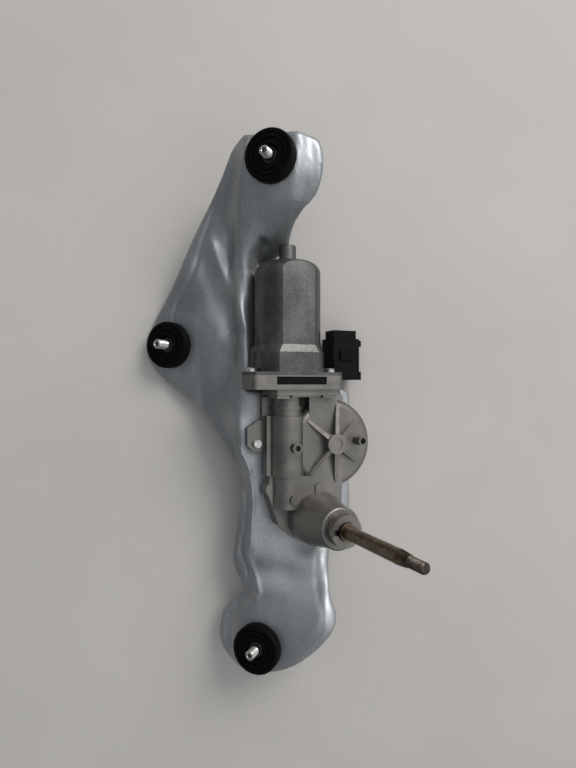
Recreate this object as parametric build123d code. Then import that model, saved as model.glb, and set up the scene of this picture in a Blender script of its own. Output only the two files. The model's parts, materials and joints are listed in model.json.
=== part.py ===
from build123d import *
from math import acos, atan2, cos, degrees, pi, radians, sin, sqrt, tan
import os

# Rear wiper motor on its pressed mounting bracket, lying as it rests on a bench.
# Bench frame: +Z up, +Y from the gearbox to the motor can, +X to the side the output shaft leans to.
# Motor frame: origin on the output shaft axis at the gearcase's open face, z along the output shaft,
# y along the worm shaft towards the can.  The motor frame leans over by SHAFT_LEAN about Y.
# All sizes are in millimetres and degrees.

# ------------------------------------------------------------------ how the halves lie
SHAFT_LEAN = 23.4
PAD_LEAN = 22.0
MOTOR_X = 12.4
MOTOR_Y = -83.8
MOTOR_Z = 23.6

# ------------------------------------------------------------------ running fits and gaps
RUN_GAP = 0.05
FACE_GAP = 0.3

# ------------------------------------------------------------------ gears and linkage
WORM_MODULE = 0.8
WHEEL_TEETH = 55
WORM_PITCH_R = 5.0
WORM_BACKLASH = 0.14
WHEEL_X = 9.7
WHEEL_Y = 46.5
WHEEL_WIDTH = 7.0
WHEEL_HUB_R = 5.5
WORM_Z = 8.0
LINK_MODULE = 0.9
LINK_TEETH = 21
LINK_BACKLASH = 0.12
LINK_SIDE = 121.2
CRANK_R = 8.0
CRANK_ANGLE = -28.2
ROCKER_Z = 0.4
ROCKER_T = 1.5
SECTOR_GAP = 0.2
SECTOR_T = 2.0
SECTOR_TEETH_SHOWN = 7
PIVOT_PIN_R = 2.0
PIVOT_EYE_R = 5.0

# ------------------------------------------------------------------ gearcase casting
CASE_DEPTH = 17.0
CASE_ROOF = 2.2
CASE_LIP_T = 2.5
DRUM_BASE_R = 30.2
DRUM_TOP_R = 27.2
DRUM_CORNER = 4.5
CHAMBER_R = 24.3
OUTPUT_DRUM_R = 18.0
OUTPUT_CHAMBER_R = 13.2
NOSE_BASE_R = 17.0
NOSE_TOP_R = 12.3
NOSE_TOP_Z = 43.0
COLLAR_R = 12.85
COLLAR_T = 3.4
SPIGOT_R = 9.5
SPIGOT_TOP_Z = 53.0
SPIGOT_BORE_R = 5.6
HUB_BOSS_R = 6.3
HUB_BOSS_H = 6.5
RIB_T = 2.6
TUBE_R = 11.0
NECK_R = 9.0
TAIL_R = 9.6
TUBE_START_Y = 7.0
TUBE_BODY_Y = 27.0
TUBE_NECK_Y = 64.0
FLANGE_Y = 80.5
FLANGE_DEPTH = 8.5
FLANGE_HALF_W = 30.0
FLANGE_HALF_H = 18.6
FLANGE_EAR_DROP = 0.5
FLANGE_FOOT_W = 19.0
FLANGE_CORNER = 4.0
PILLAR_R = 3.0
PILLAR_BORE_R = 1.9
PILLAR_X = 27.0
PILLAR_Y = 48.0
PILLAR_TOP = 25.0

# ------------------------------------------------------------------ cover, seal and their screws
SEAL_T = 0.5
COVER_T = 1.5
CASE_BOLT_R = 2.5
CASE_BOLT_HEAD_R = 4.0
CASE_BOLT_HEAD_T = 3.6

# ------------------------------------------------------------------ output shaft
SHAFT_R = 4.0
SHAFT_TIP_Z = 126.0
THREAD_R = 3.0
THREAD_LENGTH = 13.0
KNURL_LENGTH = 7.5
NOSE_BUSH_R = 6.0
NOSE_BUSH_LENGTH = 11.0

# ------------------------------------------------------------------ motor can and armature
CAN_R = 20.5
CAN_FLAT = 17.6
CAN_WALL = 1.5
CAN_FOOT_R = 22.7
CAN_FOOT_FLAT = 18.6
CAN_FOOT_LENGTH = 12.0
CAN_LENGTH = 69.5
CAN_DOME = 9.0
CAN_PLATE_T = 2.0
CAN_NOSE_R = 5.3
CAN_NOSE_LENGTH = 9.5
ARMATURE_R = 12.6
AIR_GAP = 0.8
STACK_LENGTH = 30.0
SLOTS = 10
ARM_SHAFT_R = 4.0
ARM_TAIL_R = 2.5
COMMUTATOR_R = 6.5
COMMUTATOR_LENGTH = 9.0

# ------------------------------------------------------------------ connector
PLUG_X = 25.4
PLUG_W = 20.0
PLUG_H = 16.0
PLUG_Z = -1.5
PLUG_BACK_Y = 86.5
PLUG_BODY_LENGTH = 27.0
PLUG_MOUTH_LENGTH = 5.5
PLUG_MOUTH_W = 16.5
PLUG_MOUTH_H = 12.0
PLUG_WALL = 1.4
PLUG_TONGUE_X = 8.0
PLUG_SOCKET_DEPTH = 14.0

# ------------------------------------------------------------------ mounts in the bracket
PAD_R = 15.0
GROMMET_R = 15.4
GROMMET_T = 7.0
GROMMET_WAIST_R = 8.5
GROMMET_FOOT_R = 12.0
GROMMET_FOOT_T = 3.4
SLEEVE_R = 4.6
SLEEVE_BORE_R = 3.2
STUD_R = 3.0
STUD_HEAD_R = 6.5
STUD_HEAD_T = 2.2
SHEET_T = 2.0
# plate centre of each mounting pad (x, y, z) and how far its stud stands out of the rubber
MOUNTS = {
    "upper": (-8.8, 131.4, 62.8, 6.5),
    "left": (-78.2, 25.9, 10.3, 10.5),
    "lower": (-18.2, -166.7, 30.8, 8.0),
}

# ------------------------------------------------------------------ finer sizes
SEAT_GAP = 0.05
BOSS_R = 5.0
BOSS_H = 8.0
CASE_BOLT_DEPTH = 5.0
EAR = [(-29.0, 61.5), (-35.0, 61.0), (-41.8, 56.6), (-41.8, 45.5), (-38.0, 42.2), (-29.0, 42.0)]
LAYER_DEPTH = 4.5
LAYER_TOP = 23.5
PINION_ROOM = 11.0
WASHER_T = 0.5
WASHER_GAP = 0.2
SEAL_RAISE = 4.5
SEAL_LENGTH = 4.0
SEAL_SEAT_GAP = 0.02
CLIP_RAISE = 1.0
SHAFT_FOOT_R = 3.0
SERRATIONS = 24
SWING_ROOM = [(-20.5, -3.2), (-22.9, 0.5), (-22.9, 13.0), (-19.0, 20.0), (-14.5, 27.0), (-8.5, 34.0),
              (13.0, 34.0), (13.0, 0.0), (-8.0, -12.0)]
GUSSET_ENDS = [(-7.5, 61.5), (-6.0, 28.5), (13.0, 71.0), (12.0, 22.0), (26.0, 60.0), (26.5, 34.5)]
AXLE_R = 3.0
AXLE_STANDS_OUT = 3.0
WHEEL_WEB_R = 18.5
WHEEL_WEB_T = 3.6
WHEEL_HUB_TOP = 14.2
CRANK_PIN_R = 2.0
WORM_TURNS = 8
WORM_BORE_R = 6.3
WORM_BORE_START = 31.0
BEARING_STEP = 2.0
BEARING_R = 7.0
BEARING_W = 5.0
BEARING_RACE_T = 1.1
BALLS = 8
BALL_R = 0.85
BALL_CIRCLE_R = 5.45
END_BUSH_R = 4.0
END_BUSH_Y = 22.0
THRUST_T = 1.5
BRUSH_ROOM_R = 17.4
WINDOW_X0 = -32.0
WINDOW_X1 = 0.6
ARM_STEP_GAP = 8.0
ARM_END_GAP = 0.7
STACK_START = 21.0
SLOT_R = 2.1
SLOT_AT = 8.9
END_TURN = 6.5
COMMUTATOR_START = 2.0
MAGNET_OVERHANG = 1.0
MAGNET_HALF_ANGLE = 54.0
CAN_BEARING_R = 3.9
CAN_BEARING_START = 1.3
CAN_BEARING_PLAY = 1.0
CAN_NOSE_CAP = 1.0
CAN_SCREW_R = 2.0
CAN_SCREW_X = 26.4
CAN_SCREW_Z = 14.0
CAN_SCREW_HEAD_R = 3.3
TERMINALS = [(20.6, -1.5), (23.8, -1.5), (27.0, -1.5), (30.2, -1.5)]
GROMMET_RINGS = [(12.2, 0.6), (9.3, 0.8)]
GROMMET_CUP_R = 6.2
GROMMET_CUP_DEPTH = 1.6
STUD_SHANK_R = 2.65
STUD_RELIEF = 0.2
THREAD_CHAMFER = 0.6
STUD_TIP_BORE_R = 1.2
STUD_TIP_DEPTH = 4.0
LIP_BOTTOM = 0.82
LIP_T = 2.0
LIP_X = 41.2
LIP_Y0 = -76.0
LIP_Y1 = -14.0

# ------------------------------------------------------------------ worked out from the above
WORM_PITCH = pi * WORM_MODULE
WORM_LEAD_ANGLE = atan2(WORM_PITCH, 2 * pi * WORM_PITCH_R)
WHEEL_PITCH_R = WORM_MODULE * WHEEL_TEETH / 2
WORM_X = WHEEL_X - WHEEL_PITCH_R - WORM_PITCH_R
LINK_PITCH_R = LINK_MODULE * LINK_TEETH / 2
LINK_LENGTH = 2 * LINK_PITCH_R
PIVOT_X = LINK_LENGTH * cos(radians(LINK_SIDE))
PIVOT_Y = LINK_LENGTH * sin(radians(LINK_SIDE))
CRANK_X = WHEEL_X + CRANK_R * cos(radians(CRANK_ANGLE))
CRANK_Y = WHEEL_Y + CRANK_R * sin(radians(CRANK_ANGLE))
SECTOR_Z = ROCKER_Z + ROCKER_T + SECTOR_GAP
SECTOR_TOP = SECTOR_Z + SECTOR_T
WHEEL_Z = WORM_Z - WHEEL_WIDTH / 2
TRACK_TOP = WHEEL_Z + WHEEL_WEB_T + 2.0
COVER_Z = -SEAL_T - COVER_T
LAYER_Y = FLANGE_Y - LAYER_DEPTH
PINION_HUB_TOP = PINION_ROOM - WASHER_T - WASHER_GAP
SEAL_Z = NOSE_TOP_Z + SEAL_RAISE
CLIP_Z = SPIGOT_TOP_Z + CLIP_RAISE
AXLE_TOP = CASE_DEPTH + AXLE_STANDS_OUT
WORM_BORE_END = TUBE_NECK_Y
BEARING_Y = TUBE_NECK_Y + BEARING_STEP
CAN_Y = FLANGE_Y + FLANGE_DEPTH + CAN_PLATE_T
CAN_TOP_Y = CAN_Y + CAN_LENGTH
CAN_BEARING_Y = CAN_TOP_Y + CAN_BEARING_START
CAN_BEARING_TOP = CAN_TOP_Y + CAN_NOSE_LENGTH - CAN_NOSE_CAP
COMMUTATOR_Y = CAN_Y + COMMUTATOR_START
STACK_Y = CAN_Y + STACK_START
MAGNET_Y = STACK_Y - MAGNET_OVERHANG
MAGNET_LENGTH = STACK_LENGTH + 2 * MAGNET_OVERHANG
ARM_START_Y = END_BUSH_Y + THRUST_T + FACE_GAP
ARM_STEP_Y = STACK_Y + STACK_LENGTH + ARM_STEP_GAP
ARM_END_Y = CAN_BEARING_TOP - ARM_END_GAP
MOTOR = Location((MOTOR_X, MOTOR_Y, MOTOR_Z), (0, SHAFT_LEAN, 0))
CASE_BOLTS = [(-35.8, 46.8), (-27.0, 18.5), (17.6, 74.2)]


# ------------------------------------------------------------------ small helpers
def rod(radius, length, x=0.0, y=0.0, z=0.0):
    """A round bar standing on z."""
    return Pos(x, y, z) * Cylinder(radius, length, align=(Align.CENTER, Align.CENTER, Align.MIN))


def bar_y(radius, y0, y1, x=0.0, z=0.0):
    """A round bar lying along y from y0 to y1."""
    turned = Rot(-90, 0, 0) * Cylinder(radius, y1 - y0, align=(Align.CENTER, Align.CENTER, Align.MIN))
    return Pos(x, y0, z) * turned


def block(x0, x1, y0, y1, z0, z1):
    """A box between two corners."""
    size = Box(x1 - x0, y1 - y0, z1 - z0, align=(Align.MIN, Align.MIN, Align.MIN))
    return Pos(x0, y0, z0) * size


def ring(outer, inner, length, x=0.0, y=0.0, z=0.0):
    """A tube standing on z."""
    return rod(outer, length, x, y, z) - rod(inner, length + 2, x, y, z - 1)


def slab(points, thickness, z=0.0):
    """A flat plate from an outline of straight lines."""
    return Pos(0, 0, z) * extrude(make_face(Polyline(*points, close=True)), thickness)


def in_motor(shape):
    """Carry a shape from the motor frame to the bench frame."""
    return MOTOR * shape


# ------------------------------------------------------------------ the bracket
def pad_height(mount, x):
    """Height of a mounting pad's plane at x."""
    px, _, pz, _ = MOUNTS[mount]
    return pz + (x - px) * tan(radians(PAD_LEAN))


def seat_height(x):
    """Height at x of the flat that carries the gearcase cover."""
    down = (COVER_Z - SEAT_GAP) / cos(radians(SHAFT_LEAN))
    return MOTOR_Z + down - (x - MOTOR_X) * tan(radians(SHAFT_LEAN))


def upper(*xs):
    return [(x, pad_height("upper", x)) for x in xs]


def left(*xs):
    return [(x, pad_height("left", x)) for x in xs]


def lower(*xs):
    return [(x, pad_height("lower", x)) for x in xs]


def seat(*xs):
    return [(x, seat_height(x)) for x in xs]


def bracket_sections():
    """Cross sections of the pressing from the upper end to the lower end: y, then x and z of the top skin.

    Each runs from the outer lip on the left over the step to the pad or seat, and down to the right lip.
    """
    return [
        (155.0, [(-42, 43), (-31.5, 45.5), (-30, 48.3), (-28.3, 52), *upper(-26.5, -16, -5, 5.5),
            (11.5, 64.5), (26, 63.5)]),
        (137.0, [(-42, 43.5), (-31.5, 46), (-30, 49), (-28.2, 52.3), *upper(-26.5, -16, -5, 6),
            (12, 65), (26, 64)]),
        (120.0, [(-46, 40), (-35.5, 44), (-33.6, 46.5), (-31.5, 50), *upper(-29, -18, -6, 4.5),
            (11, 64.5), (25, 63)]),
        (108.0, [(-55, 33), (-43, 38.5), (-38.5, 41), (-35, 45), (-31, 51), (-20, 55), (-8.5, 59.5),
            (3, 62.5), (8.5, 58.5), (20, 56)]),
        (94.5, [(-63, 26), (-52, 32), (-44, 33.5), (-36.5, 36), (-31.5, 45), (-22, 47.5), (-12, 48),
            (-6, 47.5), (-2, 44), (9, 38)]),
        (77.0, [(-73, 18), (-60, 26.5), (-49.5, 29.5), (-37.5, 27.5), (-32.5, 38.5), (-28, 39.5),
            (-24.5, 38), (-21.5, 33), (-18, 29), (-10, 24)]),
        (54.0, [(-89, 5), *left(-76, -43), (-35.5, 25), (-31.5, 36), (-28.5, 37.3), (-25.5, 36.5),
            (-23, 33), (-20.5, 29.5), (-14, 25)]),
        (26.0, [(-104, 0.8), *left(-92, -46), (-34.5, 27), (-29.5, 36.5), (-27.5, 37.3), (-25.5, 36.5),
            (-23.5, 33.5), (-21, 30), (-14, 26)]),
        (5.0, [(-96, 1.5), (-79, 8.5), *left(-52), (-37, 27.5), (-30, 36), *seat(-25, 0, 25, 35, 46)]),
        (-12.0, [(-71, 8.5), (-56, 13.5), (-49, 20.5), (-40, 29), (-31.5, 35.5),
            *seat(-25, 0, 21, 33, 46)]),
        (-25.0, [(-56, 20), (-42, 26.5), (-39, 29), (-36, 33.5), *seat(-30.5, -17, 0, 20, 33, 46)]),
        (-44.0, [(-45, 27.5), (-33.5, 31.5), (-32.3, 33.5), (-31, 36),
            *seat(-29.3, -17, 0, 20, 33, 46)]),
        (-66.0, [(-38, 29.5), (-26.5, 31), (-25, 33), (-23.7, 34.8), *seat(-22.2, -14, 0, 20, 33, 46)]),
        (-85.0, [(-39, 29), (-27.5, 30), (-26, 32), (-24.6, 34.3), *seat(-23, -14, 0, 20, 33, 46)]),
        (-102.6, [(-42, 26.5), (-29.5, 28), (-28, 30.5), (-26.2, 33.6),
            *seat(-23.8, -14, -2, 11, 23, 40)]),
        (-109.5, [(-42, 26), (-29, 27.5), (-27.5, 30), (-26, 32), (-24, 34), (-15, 32.5), (-2, 28.8),
            (11, 27), (21.5, 26), (34, 20.5)]),
        (-121.0, [(-40, 22.5), (-27.5, 25), (-26, 27), (-24.5, 29), (-22.5, 31.5), (-14.5, 31.5),
            (-2, 31.5), (11, 32), (20.5, 32), (33, 26)]),
        (-137.0, [(-40, 18.5), (-26, 21.5), (-24.2, 23.5), (-22.2, 26), (-20, 28), (-10, 31),
            (1.5, 34.5), (12.5, 38), (22, 41.5), (35, 36.5)]),
        (-151.0, [(-51, 14.5), (-37.5, 17.5), (-35.6, 19.7), (-33.7, 22.3),
            *lower(-31.5, -20.5, -5, 10.5, 22), (37, 41)]),
        (-169.0, [(-51, 14.5), (-38.5, 17.5), (-36.6, 19.7), (-34.6, 22.3),
            *lower(-32.5, -22, -9, 1, 9.5), (24, 38)]),
        (-190.0, [(-50, 14.5), (-38.5, 17.5), (-36.6, 19.7), (-34.6, 22.3),
            *lower(-32.5, -22, -11.5, -4.5, 2), (14, 36)]),
    ]


def sheet_section(y, top):
    """One closed section of the sheet: the top skin and, a sheet thickness below it, the under skin."""
    under = []
    for i, (x, z) in enumerate(top):
        before = top[max(i - 1, 0)]
        after = top[min(i + 1, len(top) - 1)]
        first = atan2(z - before[1], x - before[0]) if i else atan2(after[1] - z, after[0] - x)
        second = atan2(after[1] - z, after[0] - x) if i < len(top) - 1 else first
        lean = (first + second) / 2
        reach = SHEET_T / cos((second - first) / 2)
        under.append((x + reach * sin(lean), z - reach * cos(lean)))
    points = [(x, y, z) for x, z in top] + [(x, y, z) for x, z in reversed(under)]
    return Face(Wire.make_polygon([Vector(*p) for p in points], close=True))


BRACKET_OUTLINE = [
    (-22.8, 148.4), (-32.9, 145.6), (-36.2, 139.2), (-46.5, 117.2), (-55.8, 102.7), (-63.5, 90.0),
    (-72.9, 72.2), (-82.6, 56.4), (-93.6, 37.0), (-97.0, 24.0), (-93.0, 13.0), (-76.4, -2.7), (-61.8, -14.0),
    (-51.4, -23.4), (-44.3, -33.4), (-36.9, -44.5), (-31.7, -56.4), (-30.1, -68.5), (-31.8, -86.4),
    (-34.8, -104.0), (-34.6, -118.0), (-30.2, -133.0), (-31.5, -138.0), (-39.5, -145.0), (-44.8, -158.0),
    (-44.6, -170.0), (-40.3, -178.0), (-32.0, -182.7), (-18.0, -184.0), (-3.1, -179.8), (10.6, -170.9),
    (18.7, -164.2), (27.9, -151.4), (30.0, -145.0), (26.9, -133.8), (26.1, -124.6), (27.5, -106.0),
    (33.4, -94.2), (40.5, -84.0), (41.4, -74.0), (41.4, -14.0), (39.8, -5.0), (34.5, -1.9), (28.0, -2.2),
    (22.5, -4.6), (-8.0, -4.6), (-21.0, -1.0), (-22.0, 9.0), (-19.5, 24.0), (-18.5, 54.0), (-16.5, 70.0),
    (-9.0, 80.0), (-0.5, 86.0), (2.0, 93.5),
    (7.3, 102.5), (16.7, 112.4), (20.2, 124.0), (20.0, 136.0), (17.0, 142.4), (10.5, 144.8), (-4.0, 146.4),
]


def mount_place(mount):
    """A mounting pad's own frame: origin on its top face, z along the stud."""
    x, y, z, _ = MOUNTS[mount]
    return Location((x, y, z), (0, -PAD_LEAN, 0))


def bracket():
    sheet = loft([sheet_section(y, top) for y, top in bracket_sections()], ruled=True)
    edge = Spline(*[Vector(x, y, 0) for x, y in BRACKET_OUTLINE], periodic=True)
    blank = Pos(0, 0, -30) * extrude(make_face(edge), 140)
    plate = sheet & blank
    for mount in MOUNTS:
        place = mount_place(mount)
        plate = plate - place * rod(GROMMET_R + FACE_GAP, 6)
        plate = plate - place * rod(GROMMET_FOOT_R + FACE_GAP, 6, z=-SHEET_T - 6)
        plate = plate + place * rod(PAD_R, SHEET_T, z=-SHEET_T)
        plate = plate - place * rod(GROMMET_WAIST_R, 40, z=-20)
    for x, y in CASE_BOLTS:
        plate = plate - in_motor(rod(CASE_BOLT_R + 0.4, 30, x, y, COVER_Z - 20))
    lip = block(LIP_X - LIP_T, LIP_X, LIP_Y0, LIP_Y1, LIP_BOTTOM, seat_height(LIP_X) - SHEET_T)
    plate = plate + lip
    room = bar_y(CAN_R + 0.9, CAN_Y, CAN_Y + CAN_LENGTH, WORM_X, WORM_Z)
    room = room + bar_y(CAN_FOOT_R + 0.9, FLANGE_Y - 0.4, CAN_Y + CAN_FOOT_LENGTH + 5, WORM_X, WORM_Z)
    room = room + flange_face(FLANGE_Y - 0.5, CAN_Y + 0.5, 0.7)
    return plate - in_motor(room)


# ------------------------------------------------------------------ mounts
def grommet(mount):
    """Rubber mount: a thick ringed disc on the pad, a waist through the hole and a thinner foot below."""
    body = rod(GROMMET_R, GROMMET_T)
    body = fillet(body.edges().filter_by(GeomType.CIRCLE), 1.2)
    for radius, depth in GROMMET_RINGS:
        body = body - ring(radius + 0.7, radius - 0.7, depth + 1, z=GROMMET_T - depth)
    body = body + rod(GROMMET_WAIST_R - RUN_GAP, SHEET_T, z=-SHEET_T)
    foot = rod(GROMMET_FOOT_R, GROMMET_FOOT_T, z=-SHEET_T - GROMMET_FOOT_T)
    foot = chamfer(foot.edges().group_by(Axis.Z)[0], 1.2)
    body = body + foot
    body = body - rod(GROMMET_CUP_R, GROMMET_CUP_DEPTH + 1, z=GROMMET_T - GROMMET_CUP_DEPTH)
    body = body - rod(SLEEVE_R + RUN_GAP, 40, z=-20)
    return mount_place(mount) * body


def sleeves():
    """Steel spacer tubes that stop the nuts crushing the rubber."""
    made = []
    bottom = -SHEET_T - GROMMET_FOOT_T
    for mount in MOUNTS:
        tube = ring(SLEEVE_R, SLEEVE_BORE_R, GROMMET_T - GROMMET_CUP_DEPTH - bottom, z=bottom)
        made.append(mount_place(mount) * tube)
    return made


def threaded_end(radius, z0, z1):
    """A bar of a thread's outside diameter, chamfered at its far end."""
    bar = rod(radius, z1 - z0, z=z0)
    return chamfer(bar.edges().group_by(Axis.Z)[-1], THREAD_CHAMFER)


def studs():
    made = []
    for mount, (_, _, _, shown) in MOUNTS.items():
        head_top = -SHEET_T - GROMMET_FOOT_T
        head = rod(STUD_HEAD_R, STUD_HEAD_T, z=head_top - STUD_HEAD_T)
        head = chamfer(head.edges().group_by(Axis.Z)[0], 0.5)
        plain = rod(STUD_SHANK_R, GROMMET_T + STUD_RELIEF - head_top, z=head_top)
        thread = threaded_end(STUD_R, GROMMET_T + STUD_RELIEF, GROMMET_T + shown)
        tip = rod(STUD_TIP_BORE_R, STUD_TIP_DEPTH + 1, z=GROMMET_T + shown - STUD_TIP_DEPTH)
        made.append(mount_place(mount) * (head + plain + thread - tip))
    return made


# ------------------------------------------------------------------ gearcase
def base_outline():
    """Edge of the gearcase where it meets the cover."""
    body = rod(OUTPUT_DRUM_R, 1.0) + rod(DRUM_BASE_R, 1.0, WHEEL_X, WHEEL_Y)
    body = body + slab([(-17, 0), (17, 0), (17, 30), (-17, 30)], 1.0)
    body = body + slab([(-31, 64), (-31, 27), (-28.5, 27), (-30.5, 16), (-23.5, -4), (-12, -13), (5, 5),
                        (5, 64)], 1.0)
    body = body + slab([(-32, 60), (15.3, 60), (15.3, LAYER_Y), (-32, LAYER_Y)], 1.0)
    for x, y in CASE_BOLTS[1:]:
        body = body + rod(BOSS_R, 1.0, x, y)
    body = body + slab(EAR, 1.0)
    corner_x, corner_y = CASE_BOLTS[2]
    body = body + block(5, corner_x, corner_y - BOSS_R - 6, corner_y + 2, 0, 1.0)
    return body.faces().sort_by(Axis.Z)[0]


def plate_from(face, z0, z1):
    """The base outline as a flat plate between two heights."""
    lying = -face if face.normal_at().Z < 0 else face
    return Pos(0, 0, z0) * extrude(lying, z1 - z0, dir=(0, 0, 1))


def cavity():
    """Everything hollow inside the gearcase, open at its lower face."""
    room = rod(CHAMBER_R, CASE_DEPTH - CASE_ROOF + 1, WHEEL_X, WHEEL_Y, -1)
    room = room + rod(OUTPUT_CHAMBER_R, PINION_ROOM + 1, z=-1)
    swing = slab(SWING_ROOM, SECTOR_TOP + 0.5 + 1, -1)
    return room + swing


def worm_bores():
    """Stepped bore for worm, bearing and end bush."""
    bore = bar_y(WORM_BORE_R, WORM_BORE_START, WORM_BORE_END, WORM_X, WORM_Z)
    bore = bore + bar_y(ARM_SHAFT_R + 1.0, WORM_BORE_END - 1, BEARING_Y + 1, WORM_X, WORM_Z)
    bore = bore + bar_y(BEARING_R + 0.02, BEARING_Y, FLANGE_Y + 3, WORM_X, WORM_Z)
    bore = bore + bar_y(END_BUSH_R, END_BUSH_Y, WORM_BORE_START + 1, WORM_X, WORM_Z)
    bore = bore + bar_y(BRUSH_ROOM_R, FLANGE_Y + 2, FLANGE_Y + FLANGE_DEPTH + 1, WORM_X, WORM_Z)
    return bore


def flange_face(y0, y1, spare=0.0):
    """The two-eared motor flange across the motor axis, as thick as y0 to y1, grown all round by spare."""
    wide = FLANGE_HALF_W + spare
    tall = FLANGE_HALF_H + spare
    ear = FLANGE_EAR_DROP + spare
    slim = FLANGE_FOOT_W + spare
    points = [(-wide, -tall), (wide, -tall), (wide, ear), (slim, tall), (-slim, tall), (-wide, ear)]
    outline = make_face(Polyline(*points, close=True))
    outline = fillet(outline.vertices(), FLANGE_CORNER)
    return Pos(WORM_X, y0, WORM_Z) * Rot(-90, 0, 0) * extrude(outline, y1 - y0)


def cone(r0, r1, z0, z1, x=0.0, y=0.0):
    lower_ring = Pos(x, y, z0) * Circle(r0)
    upper_ring = Pos(x, y, z1) * Circle(r1)
    return loft([lower_ring, upper_ring])


def gusset(x, y):
    """A sloping stiffening rib from the hub boss down to the point x, y on the case's upper face."""
    length = sqrt((x - WHEEL_X) ** 2 + (y - WHEEL_Y) ** 2)
    turn = degrees(atan2(y - WHEEL_Y, x - WHEEL_X))
    side = Polyline((0, 0, 0), (length, 0, 0), (length, 0, 1.0), (HUB_BOSS_R, 0, HUB_BOSS_H - 1.2),
                    (0, 0, HUB_BOSS_H - 1.2), close=True)
    web = extrude(make_face(side), RIB_T / 2, both=True)
    web = web & slab([(0, -RIB_T), (length, -RIB_T / 3), (length, RIB_T / 3), (0, RIB_T)], 30, -5)
    return Pos(WHEEL_X, WHEEL_Y, CASE_DEPTH - 0.5) * Rot(0, 0, turn) * web


def gear_housing():
    body = plate_from(base_outline(), 0, CASE_LIP_T)
    drum = cone(DRUM_BASE_R - 1.6, DRUM_TOP_R, 0, CASE_DEPTH, WHEEL_X, WHEEL_Y)
    body = body + fillet(drum.edges().group_by(Axis.Z)[-1], DRUM_CORNER)
    body = body + rod(NOSE_BASE_R, CASE_DEPTH)
    body = body + slab([(-15, 0), (15.5, 0), (16.5, 24), (-15, 28)], CASE_DEPTH)
    body = body + slab([(-6.5, 60), (13, 60), (12.7, FLANGE_Y), (-6.5, FLANGE_Y)], CASE_DEPTH)
    body = body + bar_y(TUBE_R, TUBE_BODY_Y, TUBE_NECK_Y, WORM_X, WORM_Z)
    body = body + bar_y(TAIL_R, TUBE_START_Y, TUBE_BODY_Y, WORM_X, WORM_Z)
    body = body + bar_y(NECK_R, TUBE_NECK_Y, FLANGE_Y, WORM_X, WORM_Z)
    body = body + bar_y(NECK_R + 0.7, 68.0, 70.0, WORM_X, WORM_Z)
    body = body + block(-31, -10, TUBE_BODY_Y, TUBE_NECK_Y, 0, WORM_Z)
    body = body + slab([(-31, 27.5), (-28.8, 27), (-30.2, 16), (-23.3, -3.8), (-12, -12.5), (-5, 27)], WORM_Z)
    body = body + block(-26.3, -5, TUBE_NECK_Y, FLANGE_Y, 0, WORM_Z)
    body = body + cone(NOSE_BASE_R, NOSE_TOP_R, CASE_DEPTH, NOSE_TOP_Z)
    collar = rod(COLLAR_R, COLLAR_T, z=NOSE_TOP_Z - 0.6)
    body = body + fillet(collar.edges().group_by(Axis.Z)[-1], 1.6)
    body = body + rod(SPIGOT_R, SPIGOT_TOP_Z - NOSE_TOP_Z, z=NOSE_TOP_Z)
    body = body + rod(HUB_BOSS_R, HUB_BOSS_H, WHEEL_X, WHEEL_Y, CASE_DEPTH)
    body = body - rod(HUB_BOSS_R - 2.6, 1.0, WHEEL_X, WHEEL_Y, CASE_DEPTH + HUB_BOSS_H - 0.6)
    for x, y in GUSSET_ENDS:
        body = body + gusset(x, y)
    for x, y in CASE_BOLTS[1:]:
        body = body + rod(BOSS_R - 0.5, BOSS_H, x, y)
    low = WORM_Z + TUBE_R - 1
    body = body + rod(PILLAR_R, 24 - low, WORM_X, 45.0, low)
    body = body + rod(PILLAR_R, PILLAR_TOP - 12, PILLAR_X, PILLAR_Y, 12)
    body = body + rod(2.8, 4.2, WORM_X, 13.0, WORM_Z + TAIL_R - 2)
    layer = block(-32, 12.7, LAYER_Y + 1, FLANGE_Y, 0, LAYER_TOP)
    layer = fillet(layer.edges().filter_by(Axis.Y).group_by(Axis.Z)[-1], 3)
    body = body + layer
    body = body + block(-30, -22.4, LAYER_Y - 1, FLANGE_Y, WORM_Z, LAYER_TOP - 1)
    body = body + block(-20.5, -1.5, LAYER_Y, FLANGE_Y, WORM_Z, LAYER_TOP - 1)
    body = body + block(0.5, 9.0, LAYER_Y - 0.6, FLANGE_Y, WORM_Z, LAYER_TOP - 1.5)
    stop = slab([(-2.6, 14), (3.4, 14), (3.4, 21), (1.8, 22.4), (-1.0, 22.4), (-2.6, 21)], 2.0, CASE_DEPTH - 1)
    body = body + stop
    body = body - block(-60, 60, -40, 100, -30, 0)
    body = body + flange_face(FLANGE_Y, FLANGE_Y + FLANGE_DEPTH)
    body = body - cavity() - worm_bores()
    body = body - rod(PILLAR_BORE_R, 4.0, WORM_X, 45.0, 24 - 4.0)
    body = body - rod(PILLAR_BORE_R, 5.0, PILLAR_X, PILLAR_Y, PILLAR_TOP - 5.0)
    body = body - rod(NOSE_BUSH_R, SEAL_Z - PINION_ROOM + 1, z=PINION_ROOM - 1)
    body = body - rod(SPIGOT_BORE_R, 20, z=SEAL_Z - 0.5)
    notch = block(-SPIGOT_R - 1, -SPIGOT_BORE_R + 1, -1.6, 1.6, SPIGOT_TOP_Z - 2.5, SPIGOT_TOP_Z + 1)
    body = body - notch
    body = body - rod(AXLE_R, AXLE_TOP - 10, WHEEL_X, WHEEL_Y, 10)
    for x, y in CASE_BOLTS:
        body = body - rod(CASE_BOLT_R + RUN_GAP, CASE_BOLT_DEPTH + 1.5, x, y, -1)
    for side in (-1, 1):
        body = body - bar_y(CAN_SCREW_R + RUN_GAP, FLANGE_Y + 1, 100, WORM_X + side * CAN_SCREW_X, CAN_SCREW_Z)
    window = block(WINDOW_X0, WINDOW_X1, FLANGE_Y + 3, FLANGE_Y + FLANGE_DEPTH - 0.8, WORM_Z, 40)
    return body - window


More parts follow.
